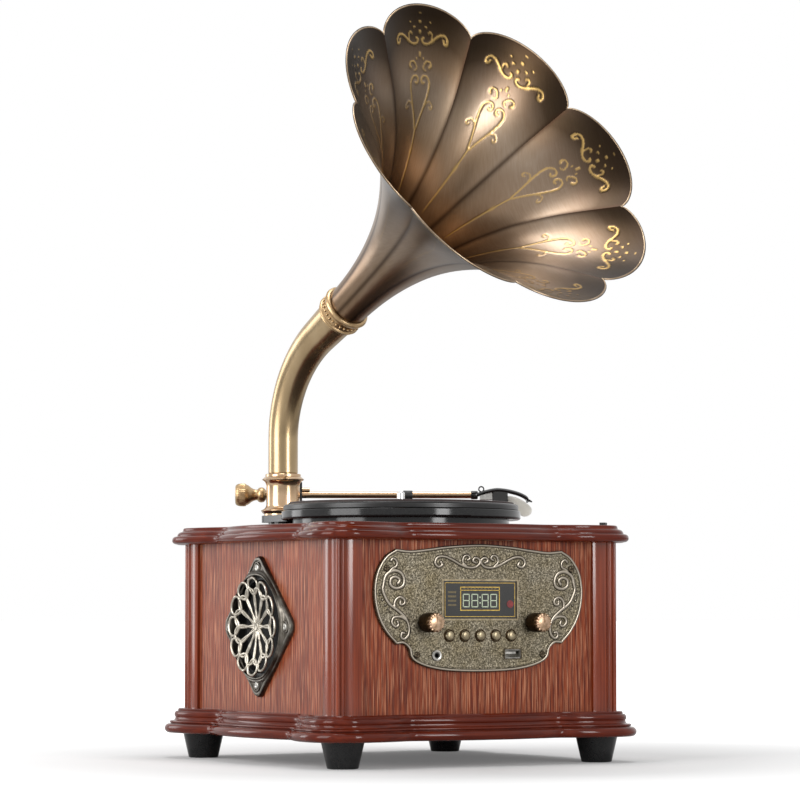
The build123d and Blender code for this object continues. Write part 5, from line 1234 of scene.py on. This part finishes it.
# Painted shadow: the lift grows from 0.12 near the middle to full white 1.1 m out, so the floor
# round the cabinet stays grey.
painted_shadow_fade = add(tree, "ShaderNodeMapRange", {"From Min": 0.26, "From Max": 1.1, "To Min": 0.12,
                                       "To Max": 1.0}, {"Value": away.outputs["Value"]})
lift_light = add(tree, "ShaderNodeMath", links={0: rays.outputs["Is Camera Ray"],
                                                1: painted_shadow_fade.outputs["Result"]}, operation="MULTIPLY")
shader.inputs["Emission Color"].default_value = (1, 1, 1, 1)
tree.links.new(lift_light.outputs[0], shader.inputs["Emission Strength"])
half, floor_level = 40.0, -0.0002
mesh = bpy.data.meshes.new("studio_floor")
mesh.from_pydata([(x * half, y * half, floor_level)
                  for x, y in ((-1, -1), (1, -1), (1, 1), (-1, 1))], [], [(0, 1, 2, 3)])
mesh.materials.append(floor_paint)
floor = bpy.data.objects.new("studio_floor", mesh)
bpy.context.scene.collection.objects.link(floor)

world = bpy.data.worlds.new("studio_white")
bpy.context.scene.world = world
world.use_nodes = True
tree = world.node_tree
tree.nodes.clear()
rays = add(tree, "ShaderNodeLightPath")
seen = rays.outputs["Is Camera Ray"]
for kind in ("Is Glossy Ray", "Is Transmission Ray"):
    either = add(tree, "ShaderNodeMath", links={0: seen, 1: rays.outputs[kind]},
                 operation="MAXIMUM")
    seen = either.outputs[0]
level = add(tree, "ShaderNodeMapRange", {"To Min": 0.42, "To Max": 1.0}, {"Value": seen})
light = add(tree, "ShaderNodeBackground", {"Color": (1, 1, 1, 1)},
            {"Strength": level.outputs["Result"]})
add(tree, "ShaderNodeOutputWorld", links={"Surface": light.outputs["Background"]})


def lamp(name, place, aim, size, watts):
    """An area lamp at a place in metres, turned to its aim."""
    data = bpy.data.lights.new(name, "AREA")
    data.shape = "RECTANGLE"
    data.size, data.size_y = size
    data.energy = watts
    made = bpy.data.objects.new(name, data)
    bpy.context.scene.collection.objects.link(made)
    made.location = place
    back = np.array(place, float) - np.array(aim, float)
    back /= np.linalg.norm(back)
    flat = math.hypot(back[0], back[1])
    made.rotation_euler = (math.atan2(flat, back[2]), 0, math.atan2(back[0], -back[1]))


lamp("front_softbox", (0.4, -2.5, 0.85), (0.0, -0.1, 0.4), (0.6, 1.4), 33)
lamp("left_softbox", (-2.5, -0.2, 1.1), (0.0, 0.0, 0.35), (1.5, 2.2), 60)
lamp("top_softbox", (0.1, 0.05, 2.5), (0.0, 0.0, 0.3), (1.1, 1.1), 26)
lamp("rear_card", (-1.35, 2.2, 0.6), (-0.15, 0.0, 0.1), (0.8, 1.15), 10)

view = bpy.data.cameras.new("photo_camera")
sensor, focal_pixels, picture_pixels = 36.0, 3229.6, 800
view.sensor_width = sensor
view.lens = focal_pixels / picture_pixels * sensor
camera = bpy.data.objects.new("photo_camera", view)
bpy.context.scene.collection.objects.link(camera)
camera_x, camera_y, camera_height = -1433.6, -2436.9, 127.0
look_up, look_right = 3.778, 30.522
camera.location = ((camera_x + origin_x) / 1000, (camera_y + origin_y) / 1000,
                   camera_height / 1000)
camera.rotation_euler = (math.radians(90 + look_up), 0, -math.radians(look_right))
bpy.context.scene.camera = camera
bpy.context.scene.view_settings.view_transform = "Standard"
